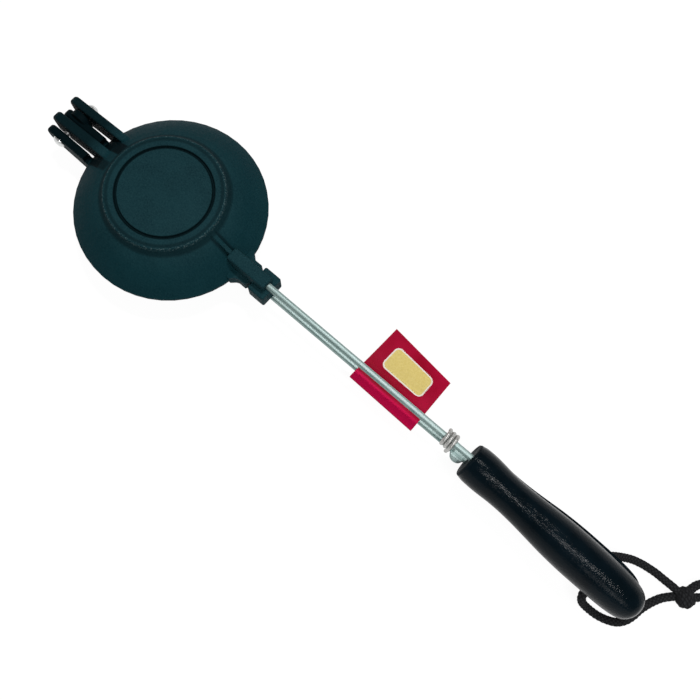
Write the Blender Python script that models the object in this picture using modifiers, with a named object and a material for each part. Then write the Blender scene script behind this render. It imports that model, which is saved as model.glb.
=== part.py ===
"""Sandwich iron: two round cast plates on a hinge, two rods with half-round grips.

Metres, +Z up. The origin is the middle of the lower plate's flat base,
+X points from the plates to the grips. Run with
    blender --background --python part.py
"""

import math

import bmesh
import bpy
from mathutils import Matrix, Vector

# Cast plates, alike but for their ears, the lower one turned over
RIM_RADIUS = 0.0590
HALF_DEPTH = 0.0223
SPLIT_GAP = 0.0003
RIM_EDGE = 0.0010
LAND_WIDTH = 0.0065
CASTING_WALL = 0.0042
BASE_RADIUS = 0.0276
GROOVE_WIDTH = 0.0018
GROOVE_DEPTH = 0.0013
GROOVE_SIDE = 0.0005
RING_WIDTH = 0.0067
RING_ROUND = 0.0012
RING_STEP = 0.0030
RING_DRAFT = 0.0009
FOOT_FILLET = 0.0014
BOWL_FLOOR_BEYOND_GROOVE = 0.0016
DOME_SHARES = (
    (0.125, 0.915),
    (0.250, 0.825),
    (0.375, 0.715),
    (0.500, 0.595),
    (0.625, 0.465),
    (0.750, 0.325),
    (0.875, 0.170),
)
BOWL_SHARES = (
    (0.00, 1.000),
    (0.14, 0.985),
    (0.28, 0.930),
    (0.42, 0.830),
    (0.56, 0.690),
    (0.70, 0.510),
    (0.82, 0.330),
    (0.92, 0.160),
)

# Hinge ears on the castings
HINGE_BEYOND_RIM = 0.0234
EAR_OUTER_FACE = 0.0137
OUTER_EAR_THICKNESS = 0.0055
UPPER_EAR_SPACE = 0.0017
LOWER_EAR_SPACE = 0.0021
INNER_EAR_OFF_MIDDLE = 0.0004
EAR_TIP = 0.0117
EAR_TOP = 0.0090
UPPER_EAR_DROP = 0.0080
UPPER_EAR_DROP_AT_ROOT = 0.0010
LOWER_EAR_REACH = 0.0038
EAR_TIP_ROUND = 0.0060
UPPER_EAR_LOW_ROUND = 0.0028
EAR_ROOT_BEYOND_RING = 0.0034
EAR_ROOT_BELOW_BASE = 0.0071
EAR_RIM_CLEARANCE = 0.0022
EAR_EDGE = 0.0015
EAR_BOSS_RADIUS = 0.0070
EAR_BOSS_GAP = 0.0005
EAR_BOSS_EDGE = 0.0004

# Hinge pin, its round head at +Y and its peened end at -Y
PIN_RADIUS = 0.0022
PIN_CLEARANCE = 0.0003
PIN_HEAD_RADIUS = 0.0040
PIN_HEAD_HEIGHT = 0.0036
PIN_PEEN_HEIGHT = 0.0022

# Socket for the rod on each casting
NECK_LENGTH = 0.0083
NECK_ROOT_HALF_WIDTH = 0.0112
NECK_HALF_WIDTH = 0.0078
NECK_FLARE = 0.0034
NECK_HEIGHT = 0.0042
WAIST_HALF_WIDTH = 0.0056
WAIST_LENGTH = 0.0029
HEAD_LENGTH = 0.0122
HEAD_HALF_WIDTH = 0.0085
HEAD_HEIGHT = 0.0068
HEAD_ROUND = 0.0012
BLOCK_INSIDE_RIM = 0.0082
BLOCK_SHORT_OF_HEAD = 0.0026
BLOCK_SIDE_WALL = 0.0027
BLOCK_TOP_WALL = 0.0038
BLOCK_DRAFT = 0.0006
BLOCK_ROUND = 0.0012
RIB_HALF_WIDTH = 0.0013
RIB_INTO_RING = 0.0016
RIB_TOP_DROP = 0.0012
RIB_BELOW_BLOCK = 0.0020
RIB_EDGE = 0.0005

# Rods
ROD_RADIUS = 0.0020
ROD_SPACING = 0.0163
ROD_CLEARANCE = 0.0003
SOCKET_DEPTH = 0.0244
ROD_SHOWN = 0.1512
ROD_SHORT_OF_GRIP = 0.0392

# Flattened stop on the lower rod, in front of its grip
STOP_RADIUS = 0.0050
STOP_THICKNESS = 0.0022
STOP_BEFORE_GRIP = 0.0054
STOP_OFFSET = 0.0006
STOP_EDGE = 0.0005

# Half-round wooden grips
GRIP_LENGTH = 0.1232
LOWER_GRIP_SHORT = 0.0036
GRIP_WIDEST_RADIUS = 0.01345
GRIP_HEIGHT_SHARE = 1.18
GRIP_FRONT_ROUND = 0.0014
GRIP_EDGE = 0.0009
UPPER_GRIP_YAW = math.radians(-1.65)
LOWER_GRIP_YAW = math.radians(-0.3)
GRIP_FRONT_SHARE = 0.835
GRIP_OUTLINE_SHARES = (
    (0.040, 0.885),
    (0.092, 0.896),
    (0.141, 0.870),
    (0.190, 0.833),
    (0.247, 0.818),
    (0.312, 0.833),
    (0.377, 0.870),
    (0.442, 0.918),
    (0.506, 0.963),
    (0.571, 0.989),
    (0.640, 1.000),
    (0.720, 0.989),
    (0.815, 0.967),
    (0.880, 0.929),
    (0.929, 0.862),
    (0.963, 0.755),
    (0.984, 0.590),
    (0.996, 0.370),
)

# Wire keeper on the upper rod
KEEPER_WIRE_RADIUS = 0.0010
KEEPER_COIL_RADIUS = 0.0044
KEEPER_PITCH = 0.0026
KEEPER_SQUARENESS = 1.2
KEEPER_TOP_PASSES = 3
KEEPER_CLEARANCE = 0.0003
KEEPER_BEFORE_GRIP = 0.0158
KEEPER_LONG_TAIL = 0.0064
KEEPER_SHORT_TAIL = 0.0012
KEEPER_TAIL_FLARE = 0.0007
KEEPER_POINTS_PER_TURN = 10

# Folded card label round the lower rod
CARD_THICKNESS = 0.0004
CARD_BEFORE_GRIP = 0.0838
CARD_LENGTH = 0.0484
CARD_LEAN = 0.0026
CARD_FOLD_REACH = 0.0068
CARD_FOLD_SLANT = 0.0010
CARD_FLAP_REACH = 0.0340
CARD_FLAP_SLANT = 0.0045
CARD_MEET = 0.0062
CARD_LAYER_GAP = 0.0004
CARD_ROD_CLEARANCE = 0.0003

# Cord through the lower grip, with its knot and wrist loop
CORD_RADIUS = 0.0024
CORD_STEP = 0.0050
CORD_HOLE_BEHIND_ROD = 0.0132
CORD_HOLE_DROP = 0.0076
CORD_HOLE_CLEARANCE = 0.0010
KNOT_PLACE = (0.3818, 0.0237, 0.0058)
KNOT_SIZE = (0.0064, 0.0062, 0.0056)
STRAND_A_ROUTE = (
    (0.3308, 0.00015, 0.01485),
    (0.3308, 0.0060, 0.01485),
    (0.3310, 0.0095, 0.01480),
    (0.3319, 0.0119, 0.01420),
    (0.3336, 0.0137, 0.01280),
    (0.3368, 0.0158, 0.01050),
    (0.3410, 0.0184, 0.00750),
    (0.3464, 0.0212, 0.00480),
    (0.3523, 0.0231, 0.00320),
    (0.3573, 0.0240, 0.00280),
    (0.3620, 0.0245, 0.00290),
    (0.3680, 0.0244, 0.00370),
    (0.3716, 0.0242, 0.00490),
    (0.3750, 0.0240, 0.00560),
)
STRAND_B_ROUTE = (
    (0.3308, -0.00015, 0.01485),
    (0.3308, -0.0060, 0.01485),
    (0.3308, -0.0110, 0.01485),
    (0.3314, -0.0145, 0.01412),
    (0.3330, -0.0171, 0.01212),
    (0.3351, -0.0180, 0.00940),
    (0.3378, -0.0182, 0.00670),
    (0.3432, -0.0180, 0.00400),
    (0.3488, -0.0174, 0.00270),
    (0.3544, -0.0159, 0.00265),
    (0.3597, -0.0132, 0.00265),
    (0.3633, -0.0090, 0.00265),
    (0.3653, -0.0040, 0.00265),
    (0.3665, 0.0016, 0.00265),
    (0.3682, 0.0064, 0.00265),
    (0.3702, 0.0108, 0.00265),
    (0.3728, 0.0152, 0.00280),
    (0.3766, 0.0196, 0.00340),
)
LOOP_ROUTE = (
    (0.3823, 0.0306, 0.00550),
    (0.3840, 0.0342, 0.00440),
    (0.3870, 0.0378, 0.00300),
    (0.3920, 0.0440, 0.00265),
    (0.4000, 0.0535, 0.00265),
    (0.4100, 0.0640, 0.00265),
    (0.4220, 0.0725, 0.00265),
    (0.4350, 0.0765, 0.00265),
    (0.4465, 0.0735, 0.00265),
    (0.4530, 0.0640, 0.00265),
    (0.4520, 0.0530, 0.00265),
    (0.4440, 0.0450, 0.00265),
    (0.4320, 0.0400, 0.00265),
    (0.4190, 0.0372, 0.00265),
    (0.4070, 0.0355, 0.00265),
    (0.3975, 0.0340, 0.00280),
    (0.3915, 0.0314, 0.00380),
    (0.3870, 0.0280, 0.00520),
)

# One overrun serves every cut
OVERRUN = 0.0010
MERGE = 0.00001
SMOOTH_ANGLE = math.radians(35.0)

# Sizes and places that follow from the ones above
SPLIT_HEIGHT = HALF_DEPTH + SPLIT_GAP / 2
RING_INNER = BASE_RADIUS + GROOVE_WIDTH
RING_OUTER = RING_INNER + RING_WIDTH
BOWL_FLOOR_RADIUS = RING_INNER + BOWL_FLOOR_BEYOND_GROOVE
HINGE_REACH = RIM_RADIUS + HINGE_BEYOND_RIM
EAR_ROOT_RADIUS = RING_OUTER + EAR_ROOT_BEYOND_RING
EAR_ROOT_HEIGHT = HALF_DEPTH - EAR_ROOT_BELOW_BASE
NECK_REACH = RIM_RADIUS + NECK_LENGTH
HEAD_START = NECK_REACH + WAIST_LENGTH
HEAD_END = HEAD_START + HEAD_LENGTH
ROD_RISE = ROD_SPACING / 2
BLOCK_START = RIM_RADIUS - BLOCK_INSIDE_RIM
BLOCK_END = HEAD_END - BLOCK_SHORT_OF_HEAD
BLOCK_HALF_WIDTH = ROD_RADIUS + BLOCK_SIDE_WALL
BLOCK_HEIGHT = ROD_RISE + ROD_RADIUS + BLOCK_TOP_WALL
SOCKET_BOTTOM = HEAD_END - SOCKET_DEPTH
GRIP_START = HEAD_END + ROD_SHOWN
ROD_IN_GRIP = GRIP_LENGTH - ROD_SHORT_OF_GRIP
CORD_HOLE_REACH = GRIP_START + ROD_IN_GRIP + CORD_HOLE_BEHIND_ROD
KEEPER_MIDDLE = GRIP_START - KEEPER_BEFORE_GRIP
CARD_START = GRIP_START - CARD_BEFORE_GRIP
PIN_POINT = Vector((-HINGE_REACH, 0, SPLIT_HEIGHT))

COLOURS = {
    "cast_iron": ((0.014, 0.034, 0.040, 1.0), 0.55, 0.35),
    "zinc_steel": ((0.52, 0.58, 0.56, 1.0), 0.32, 0.90),
    "spring_steel": ((0.46, 0.46, 0.45, 1.0), 0.38, 0.90),
    "rivet_steel": ((0.72, 0.73, 0.72, 1.0), 0.28, 0.95),
    "black_lacquer": ((0.006, 0.012, 0.016, 1.0), 0.22, 0.0),
    "red_card": ((0.40, 0.008, 0.030, 1.0), 0.30, 0.0),
    "black_cord": ((0.010, 0.010, 0.011, 1.0), 0.85, 0.0),
}


def clear_objects():
    """Empties the scene of its objects."""
    for item in list(bpy.data.objects):
        bpy.data.objects.remove(item, do_unlink=True)


def make_collection(name):
    """Adds a collection to the scene."""
    collection = bpy.data.collections.new(name)
    bpy.context.scene.collection.children.link(collection)
    return collection


def make_material(kind, name):
    """Gives a piece a Principled BSDF of its own."""
    colour, roughness, metallic = COLOURS[kind]
    material = bpy.data.materials.new(name)
    material.use_nodes = True
    shader = material.node_tree.nodes["Principled BSDF"]
    shader.inputs["Base Color"].default_value = colour
    shader.inputs["Roughness"].default_value = roughness
    shader.inputs["Metallic"].default_value = metallic
    material.diffuse_color = colour
    return material


def add_object(name, data, collection):
    """Links an object that shows the given data."""
    item = bpy.data.objects.new(name, data)
    collection.objects.link(item)
    return item


def bake(item):
    """Turns an object's evaluated shape into its own plain mesh."""
    bpy.context.view_layer.update()
    graph = bpy.context.evaluated_depsgraph_get()
    mesh = bpy.data.meshes.new_from_object(item.evaluated_get(graph))
    mesh.transform(item.matrix_world)
    shape = bmesh.new()
    shape.from_mesh(mesh)
    bmesh.ops.remove_doubles(shape, verts=shape.verts, dist=MERGE)
    shape.to_mesh(mesh)
    shape.free()
    name = item.name
    collection = item.users_collection[0]
    bpy.data.objects.remove(item, do_unlink=True)
    return add_object(name, mesh, collection)


def turned(name, profile, steps, collection):
    """Turns a profile of (radius, height) points about Z."""
    mesh = bpy.data.meshes.new(name)
    points = [(radius, 0, height) for radius, height in profile]
    edges = [(i, i + 1) for i in range(len(points) - 1)]
    mesh.from_pydata(points, edges, [])
    item = add_object(name, mesh, collection)
    screw = item.modifiers.new("Screw", "SCREW")
    screw.axis = "Z"
    screw.steps = steps
    screw.render_steps = steps
    screw.use_merge_vertices = True
    screw.merge_threshold = MERGE
    return bake(item)


def outline_plate(name, points, half_thickness, collection):
    """Fills a flat outline and gives it thickness along its local Z."""
    curve = bpy.data.curves.new(name, "CURVE")
    curve.dimensions = "2D"
    curve.fill_mode = "BOTH"
    curve.extrude = half_thickness
    spline = curve.splines.new("POLY")
    spline.points.add(len(points) - 1)
    for target, (across, up) in zip(spline.points, points):
        target.co = (across, up, 0, 1)
    spline.use_cyclic_u = True
    plate = bake(add_object(name, curve, collection))
    shape = bmesh.new()
    shape.from_mesh(plate.data)
    bmesh.ops.dissolve_limit(
        shape, angle_limit=math.radians(1.0), verts=shape.verts, edges=shape.edges
    )
    shape.to_mesh(plate.data)
    shape.free()
    return plate


def upright(item, middle):
    """Stands a flat outline up in the XZ plane, its middle layer at y = middle."""
    item.data.transform(Matrix.Rotation(math.radians(90.0), 4, "X"))
    item.data.transform(Matrix.Translation((0, middle, 0)))
    return item


def box(name, low, high, collection):
    """Makes a box between two corners."""
    mesh = bpy.data.meshes.new(name)
    shape = bmesh.new()
    bmesh.ops.create_cube(shape, size=1.0)
    for corner in shape.verts:
        for axis in range(3):
            share = corner.co[axis] + 0.5
            corner.co[axis] = low[axis] + (high[axis] - low[axis]) * share
    shape.to_mesh(mesh)
    shape.free()
    return add_object(name, mesh, collection)


def cylinder(name, radius, start, end, sides, collection):
    """Makes a capped cylinder between two points."""
    start = Vector(start)
    end = Vector(end)
    mesh = bpy.data.meshes.new(name)
    shape = bmesh.new()
    bmesh.ops.create_cone(
        shape,
        cap_ends=True,
        segments=sides,
        radius1=radius,
        radius2=radius,
        depth=(end - start).length,
    )
    shape.to_mesh(mesh)
    shape.free()
    turn = Vector((0, 0, 1)).rotation_difference(end - start).to_matrix().to_4x4()
    mesh.transform(Matrix.Translation((start + end) / 2) @ turn)
    return add_object(name, mesh, collection)


def tube(name, points, radius, resolution, collection):
    """Makes a tube with filled ends along a POLY spline."""
    curve = bpy.data.curves.new(name, "CURVE")
    curve.dimensions = "3D"
    curve.bevel_depth = radius
    curve.bevel_resolution = resolution
    curve.use_fill_caps = True
    spline = curve.splines.new("POLY")
    spline.points.add(len(points) - 1)
    for target, point in zip(spline.points, points):
        target.co = (*point, 1)
    return add_object(name, curve, collection)


def bevel(item, width, segments, angle=math.radians(30.0)):
    """Rounds the edges that are sharper than an angle."""
    modifier = item.modifiers.new("Bevel", "BEVEL")
    modifier.width = width
    modifier.segments = segments
    modifier.limit_method = "ANGLE"
    modifier.angle_limit = angle
    return bake(item)


def combine(item, other, operation):
    """Runs one Boolean and removes the second object."""
    modifier = item.modifiers.new("Boolean", "BOOLEAN")
    modifier.operation = operation
    modifier.solver = "EXACT"
    modifier.object = other
    result = bake(item)
    bpy.data.objects.remove(other, do_unlink=True)
    return result


def arc(middle, radius, first, last, steps):
    """Lists the points of an arc in a plane, its angles in degrees."""
    points = []
    for i in range(steps + 1):
        angle = math.radians(first + (last - first) * i / steps)
        points.append((
            middle[0] + radius * math.cos(angle),
            middle[1] + radius * math.sin(angle),
        ))
    return points


def smooth_points(route, step):
    """Reads evenly spaced points from a smooth curve through a route."""
    route = [Vector(point) for point in route]
    padded = [2 * route[0] - route[1], *route, 2 * route[-1] - route[-2]]
    fine = []
    per_span = 24
    for i in range(1, len(padded) - 2):
        a, b, c, d = padded[i - 1:i + 3]
        for k in range(per_span):
            t = k / per_span
            fine.append(0.5 * (
                2 * b
                + (c - a) * t
                + (2 * a - 5 * b + 4 * c - d) * t ** 2
                + (3 * b - a - 3 * c + d) * t ** 3
            ))
    fine.append(route[-1])
    lengths = [0]
    for before, after in zip(fine, fine[1:]):
        lengths.append(lengths[-1] + (after - before).length)
    count = max(2, round(lengths[-1] / step))
    points = []
    place = 0
    for i in range(count + 1):
        wanted = lengths[-1] * i / count
        while place < len(fine) - 2 and lengths[place + 1] < wanted:
            place += 1
        span = lengths[place + 1] - lengths[place]
        share = (wanted - lengths[place]) / span if span else 0
        points.append(fine[place].lerp(fine[place + 1], min(share, 1)))
    return points


def dome_profile():
    """Outer surface of a casting, from its base to past its split face."""
    foot_radius = RING_OUTER + RING_DRAFT
    foot_height = HALF_DEPTH - RING_STEP
    dome_radius = foot_radius + FOOT_FILLET
    dome_height = foot_height - FOOT_FILLET / 2
    edge_height = SPLIT_GAP / 2 + RIM_EDGE
    profile = [
        (0, HALF_DEPTH + SPLIT_GAP / 2),
        (BASE_RADIUS, HALF_DEPTH + SPLIT_GAP / 2),
        (BASE_RADIUS + GROOVE_SIDE, HALF_DEPTH + SPLIT_GAP / 2 - GROOVE_DEPTH),
        (RING_INNER - GROOVE_SIDE, HALF_DEPTH + SPLIT_GAP / 2 - GROOVE_DEPTH),
        (RING_INNER, HALF_DEPTH + SPLIT_GAP / 2),
    ]
    corner = (RING_OUTER - RING_ROUND, HALF_DEPTH + SPLIT_GAP / 2 - RING_ROUND)
    profile += arc(corner, RING_ROUND, 90.0, 10.0, 4)
    profile.append((foot_radius, foot_height + FOOT_FILLET / 2))
    profile.append((dome_radius, dome_height))
    for out_share, up_share in DOME_SHARES:
        profile.append((
            dome_radius + (RIM_RADIUS - dome_radius) * out_share,
            edge_height + (dome_height - edge_height) * up_share,
        ))
    profile.append((RIM_RADIUS, edge_height))
    profile.append((RIM_RADIUS, SPLIT_GAP / 2 - OVERRUN))
    profile.append((0, SPLIT_GAP / 2 - OVERRUN))
    return profile


def bowl_profile():
    """Hollow of a casting, as the cutter that removes it."""
    top = HALF_DEPTH + SPLIT_GAP / 2 - CASTING_WALL
    bottom = SPLIT_GAP / 2
    mouth = RIM_RADIUS - LAND_WIDTH
    profile = [(0, top)]
    for out_share, up_share in BOWL_SHARES:
        profile.append((
            BOWL_FLOOR_RADIUS + (mouth - BOWL_FLOOR_RADIUS) * out_share,
            bottom + (top - bottom) * up_share,
        ))
    profile.append((mouth, bottom))
    profile.append((mouth, bottom - OVERRUN))
    profile.append((0, bottom - OVERRUN))
    return profile


def ear_outline(drop, drop_at_root, low_round):
    """Side view of an ear in (x, z) from the hinge axis, before it is trimmed.

    The drops are how far it reaches past the axis, at its eye and at its root.
    """
    tip = -EAR_TIP
    root = HINGE_REACH - EAR_ROOT_RADIUS
    top_middle = (tip + EAR_TIP_ROUND, EAR_TOP - EAR_TIP_ROUND)
    low_middle = (tip + low_round, low_round - drop)
    points = [(root, EAR_ROOT_HEIGHT)]
    points += arc(top_middle, EAR_TIP_ROUND, 90.0, 180.0, 5)
    points += arc(low_middle, low_round, 180.0, 270.0, 5)
    points.append((0, -drop))
    points.append((root, -drop_at_root))
    return points


def neck_outline():
    """Plan of the neck, its waist and its hidden root, centred on the plate."""
    root = RIM_RADIUS - LAND_WIDTH / 2
    right = [
        (root, NECK_ROOT_HALF_WIDTH),
        (RIM_RADIUS - OVERRUN, NECK_ROOT_HALF_WIDTH),
        (RIM_RADIUS + NECK_FLARE / 2, NECK_HALF_WIDTH + NECK_FLARE / 4),
        (RIM_RADIUS + NECK_FLARE, NECK_HALF_WIDTH),
        (NECK_REACH, NECK_HALF_WIDTH),
        (NECK_REACH + OVERRUN, WAIST_HALF_WIDTH),
        (HEAD_START + HEAD_ROUND, WAIST_HALF_WIDTH),
    ]
    return right + [(x, -y) for x, y in reversed(right)]


def make_casting(ear_shape, ear_space, boss_reach, collection):
    """Models one casting, hinge axis at the origin and split plane at z = 0.

    ear_space parts its inner ear from the other casting's outer one, and a
    boss round the pin may stand out into it.
    """
    to_plate = Matrix.Translation((HINGE_REACH, 0, 0))
    casting = turned("casting", dome_profile(), 48, collection)
    casting.data.transform(to_plate)

    outer_middle = EAR_OUTER_FACE - OUTER_EAR_THICKNESS / 2
    inner_face = EAR_OUTER_FACE - OUTER_EAR_THICKNESS - ear_space
    inner_middle = (inner_face + INNER_EAR_OFF_MIDDLE) / 2
    ears = (
        ("outer_ear", OUTER_EAR_THICKNESS, outer_middle),
        ("inner_ear", inner_face - INNER_EAR_OFF_MIDDLE, -inner_middle),
    )
    for name, thickness, middle in ears:
        ear = outline_plate(name, ear_outline(*ear_shape), thickness / 2, collection)
        ear = bevel(upright(ear, middle), EAR_EDGE, 3, math.radians(60.0))
        casting = combine(casting, ear, "UNION")
    if boss_reach:
        start = (0, -inner_middle, 0)
        end = (0, -inner_face - boss_reach, 0)
        boss = cylinder("boss", EAR_BOSS_RADIUS, start, end, 32, collection)
        casting = combine(casting, bevel(boss, EAR_BOSS_EDGE, 2), "UNION")

    half_neck = (NECK_HEIGHT - SPLIT_GAP / 2) / 2 + OVERRUN
    neck = outline_plate("neck", neck_outline(), half_neck, collection)
    lift = NECK_HEIGHT - half_neck
    neck.data.transform(Matrix.Translation((HINGE_REACH, 0, lift)))
    casting = combine(casting, neck, "UNION")

    head = box(
        "head",
        (HINGE_REACH + HEAD_START, -HEAD_HALF_WIDTH, SPLIT_GAP / 2 - HEAD_ROUND),
        (HINGE_REACH + HEAD_END, HEAD_HALF_WIDTH, HEAD_HEIGHT),
        collection,
    )
    casting = combine(casting, bevel(head, HEAD_ROUND, 3), "UNION")

    block = box(
        "block",
        (HINGE_REACH + BLOCK_START, -BLOCK_HALF_WIDTH, NECK_HEIGHT / 2),
        (HINGE_REACH + BLOCK_END, BLOCK_HALF_WIDTH, BLOCK_HEIGHT),
        collection,
    )
    for corner in block.data.vertices:
        if corner.co.z > NECK_HEIGHT:
            corner.co.y -= math.copysign(BLOCK_DRAFT, corner.co.y)
    casting = combine(casting, bevel(block, BLOCK_ROUND, 3), "UNION")

    rib_top = HALF_DEPTH - RIB_TOP_DROP
    rib_outline = [
        (HINGE_REACH + RING_OUTER - RIB_INTO_RING, rib_top),
        (HINGE_REACH + RING_OUTER - RIB_INTO_RING, rib_top / 2),
        (HINGE_REACH + BLOCK_START + BLOCK_ROUND * 2, NECK_HEIGHT),
        (HINGE_REACH + BLOCK_START + BLOCK_ROUND * 2, BLOCK_HEIGHT - RIB_BELOW_BLOCK),
    ]
    rib = outline_plate("rib", rib_outline, RIB_HALF_WIDTH, collection)
    rib = bevel(upright(rib, 0), RIB_EDGE, 2)
    casting = combine(casting, rib, "UNION")

    side = RIM_RADIUS + OVERRUN
    trim = box(
        "trim",
        (HINGE_REACH - RIM_RADIUS - EAR_RIM_CLEARANCE, -side, -HALF_DEPTH),
        (HINGE_REACH + HEAD_END + OVERRUN, side, SPLIT_GAP / 2),
        collection,
    )
    casting = combine(casting, trim, "DIFFERENCE")

    bowl = turned("bowl", bowl_profile(), 48, collection)
    bowl.data.transform(to_plate)
    casting = combine(casting, bowl, "DIFFERENCE")

    bore = cylinder(
        "bore",
        ROD_RADIUS + ROD_CLEARANCE,
        (HINGE_REACH + SOCKET_BOTTOM - ROD_CLEARANCE, 0, ROD_RISE),
        (HINGE_REACH + HEAD_END + OVERRUN, 0, ROD_RISE),
        20,
        collection,
    )
    casting = combine(casting, bore, "DIFFERENCE")
    pin_hole = cylinder(
        "pin_hole",
        PIN_RADIUS + PIN_CLEARANCE,
        (0, -EAR_OUTER_FACE - OVERRUN, 0),
        (0, EAR_OUTER_FACE + OVERRUN, 0),
        24,
        collection,
    )
    return combine(casting, pin_hole, "DIFFERENCE")


def make_pin(collection):
    """Turns the hinge pin with both heads and lays it along Y."""
    seat = EAR_OUTER_FACE + PIN_CLEARANCE
    head = [(0, seat + PIN_HEAD_HEIGHT)]
    peen = [(0, -seat - PIN_PEEN_HEIGHT)]
    for i in range(1, 6):
        angle = math.radians(18.0 * i)
        radius = PIN_HEAD_RADIUS * math.sin(angle)
        head.append((radius, seat + PIN_HEAD_HEIGHT * math.cos(angle)))
        peen.append((radius, -seat - PIN_PEEN_HEIGHT * math.cos(angle)))
    shank = [(PIN_RADIUS, seat), (PIN_RADIUS, -seat)]
    pin = turned("hinge_pin", head + shank + peen[::-1], 24, collection)
    pin.data.transform(Matrix.Rotation(math.radians(-90.0), 4, "X"))
    pin.data.transform(Matrix.Translation(PIN_POINT))
    return pin


def grip_profile(length):
    """Turned outline of a whole grip, rear end on top."""
    profile = [(0, length)]
    for along, out in reversed(GRIP_OUTLINE_SHARES):
        profile.append((GRIP_WIDEST_RADIUS * out, length * along))
    front_radius = GRIP_WIDEST_RADIUS * GRIP_FRONT_SHARE
    corner = (front_radius - GRIP_FRONT_ROUND, GRIP_FRONT_ROUND)
    profile += arc(corner, GRIP_FRONT_ROUND, 0.0, -90.0, 3)
    profile.append((0, 0))
    return profile


def make_grip(name, side, length, yaw, collection):
    """Turns a grip, flattens it to a half and bores it for its rod.

    side is +1 for the upper grip and -1 for the lower one.
    """
    grip = turned(name, grip_profile(length), 32, collection)
    grip.data.transform(Matrix.Rotation(math.radians(90.0), 4, "Y"))
    grip.data.transform(Matrix.Scale(GRIP_HEIGHT_SHARE, 4, (0, 0, 1)))
    half = box(
        "half",
        (-OVERRUN, -length, SPLIT_GAP / 2),
        (length + OVERRUN, length, length),
        collection,
    )
    grip = combine(grip, half, "INTERSECT")
    grip = bevel(grip, GRIP_EDGE, 2, math.radians(50.0))
    if side < 0:
        grip.data.transform(Matrix.Rotation(math.radians(180.0), 4, "X"))
    grip.data.transform(Matrix.Rotation(yaw, 4, "Z"))
    grip.data.transform(Matrix.Translation((GRIP_START, 0, SPLIT_HEIGHT)))
    rise = SPLIT_HEIGHT + side * ROD_RISE
    bore = cylinder(
        "grip_bore",
        ROD_RADIUS + ROD_CLEARANCE,
        (GRIP_START - OVERRUN, 0, rise),
        (GRIP_START + ROD_IN_GRIP + ROD_CLEARANCE, 0, rise),
        20,
        collection,
    )
    grip = combine(grip, bore, "DIFFERENCE")
    if side < 0:
        drop = SPLIT_HEIGHT - CORD_HOLE_DROP
        hole = cylinder(
            "cord_hole",
            CORD_RADIUS + CORD_HOLE_CLEARANCE,
            (CORD_HOLE_REACH, -GRIP_WIDEST_RADIUS - OVERRUN, drop),
            (CORD_HOLE_REACH, GRIP_WIDEST_RADIUS + OVERRUN, drop),
            20,
            collection,
        )
        grip = combine(grip, hole, "DIFFERENCE")
    return grip


def make_rod(name, side, collection):
    """Makes a rod from the bottom of its socket to its end in the grip."""
    rise = SPLIT_HEIGHT + side * ROD_RISE
    rod = cylinder(
        name,
        ROD_RADIUS,
        (SOCKET_BOTTOM, 0, rise),
        (GRIP_START + ROD_IN_GRIP, 0, rise),
        20,
        collection,
    )
    if side < 0:
        middle = Vector((GRIP_START - STOP_BEFORE_GRIP, -STOP_OFFSET, rise))
        half = Vector((0, 0, STOP_THICKNESS / 2))
        stop = cylinder("stop", STOP_RADIUS, middle - half, middle + half, 28, collection)
        rod = combine(rod, bevel(stop, STOP_EDGE, 2), "UNION")
    return rod


def keeper_advance(angle):
    """How far the keeper's wire has moved on along the rod at an angle.

    It lies nearly square to the rod over the top and moves on beneath it.
    """
    lag = KEEPER_SQUARENESS * (math.cos(angle) - 1)
    return KEEPER_PITCH * (angle + lag) / math.tau


def keeper_points():
    """Lists the points of the wire keeper, from its short tail to its long one.

    The coil hangs on the upper rod, so its middle lies below the rod's.
    """
    half_step = math.pi / KEEPER_POINTS_PER_TURN
    inside = KEEPER_COIL_RADIUS * math.cos(half_step) - KEEPER_WIRE_RADIUS
    hang = inside - ROD_RADIUS - KEEPER_CLEARANCE
    height = SPLIT_HEIGHT + ROD_RISE - hang
    steps = KEEPER_POINTS_PER_TURN * KEEPER_TOP_PASSES - KEEPER_POINTS_PER_TURN // 2
    length = keeper_advance(math.tau * steps / KEEPER_POINTS_PER_TURN)
    start = KEEPER_MIDDLE - length / 2
    flared = KEEPER_COIL_RADIUS + KEEPER_TAIL_FLARE
    points = [Vector((start, flared, height - KEEPER_SHORT_TAIL))]
    for i in range(steps + 1):
        angle = math.tau * i / KEEPER_POINTS_PER_TURN
        points.append(Vector((
            start + keeper_advance(angle),
            KEEPER_COIL_RADIUS * math.cos(angle),
            height + KEEPER_COIL_RADIUS * math.sin(angle),
        )))
    points.append(Vector((start + length, -flared, height - KEEPER_LONG_TAIL)))
    return points


def least_gap(points):
    """Least gap between two turns of the keeper, measured on its points."""
    gaps = []
    apart = KEEPER_POINTS_PER_TURN // 2
    for i, first in enumerate(points):
        for j in range(i + apart, len(points) - 1):
            edge = points[j + 1] - points[j]
            share = (first - points[j]).dot(edge) / edge.length_squared
            foot = points[j] + edge * min(max(share, 0), 1)
            gaps.append((first - foot).length - 2 * KEEPER_WIRE_RADIUS)
    return min(gaps)


def card_section(fold_reach, flap_reach):
    """Lists a card's (y, height) section, its fold round the lower rod."""
    clear = ROD_RADIUS + CARD_ROD_CLEARANCE + CARD_THICKNESS / 2
    apart = (CARD_LAYER_GAP + CARD_THICKNESS) / 2
    points = [(flap_reach, apart), (CARD_MEET, apart), (clear / 2, clear)]
    points += arc((clear - fold_reach, 0), clear, 90.0, 270.0, 8)
    points += [(clear / 2, -clear), (CARD_MEET, -apart), (flap_reach, -apart)]
    return points


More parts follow.
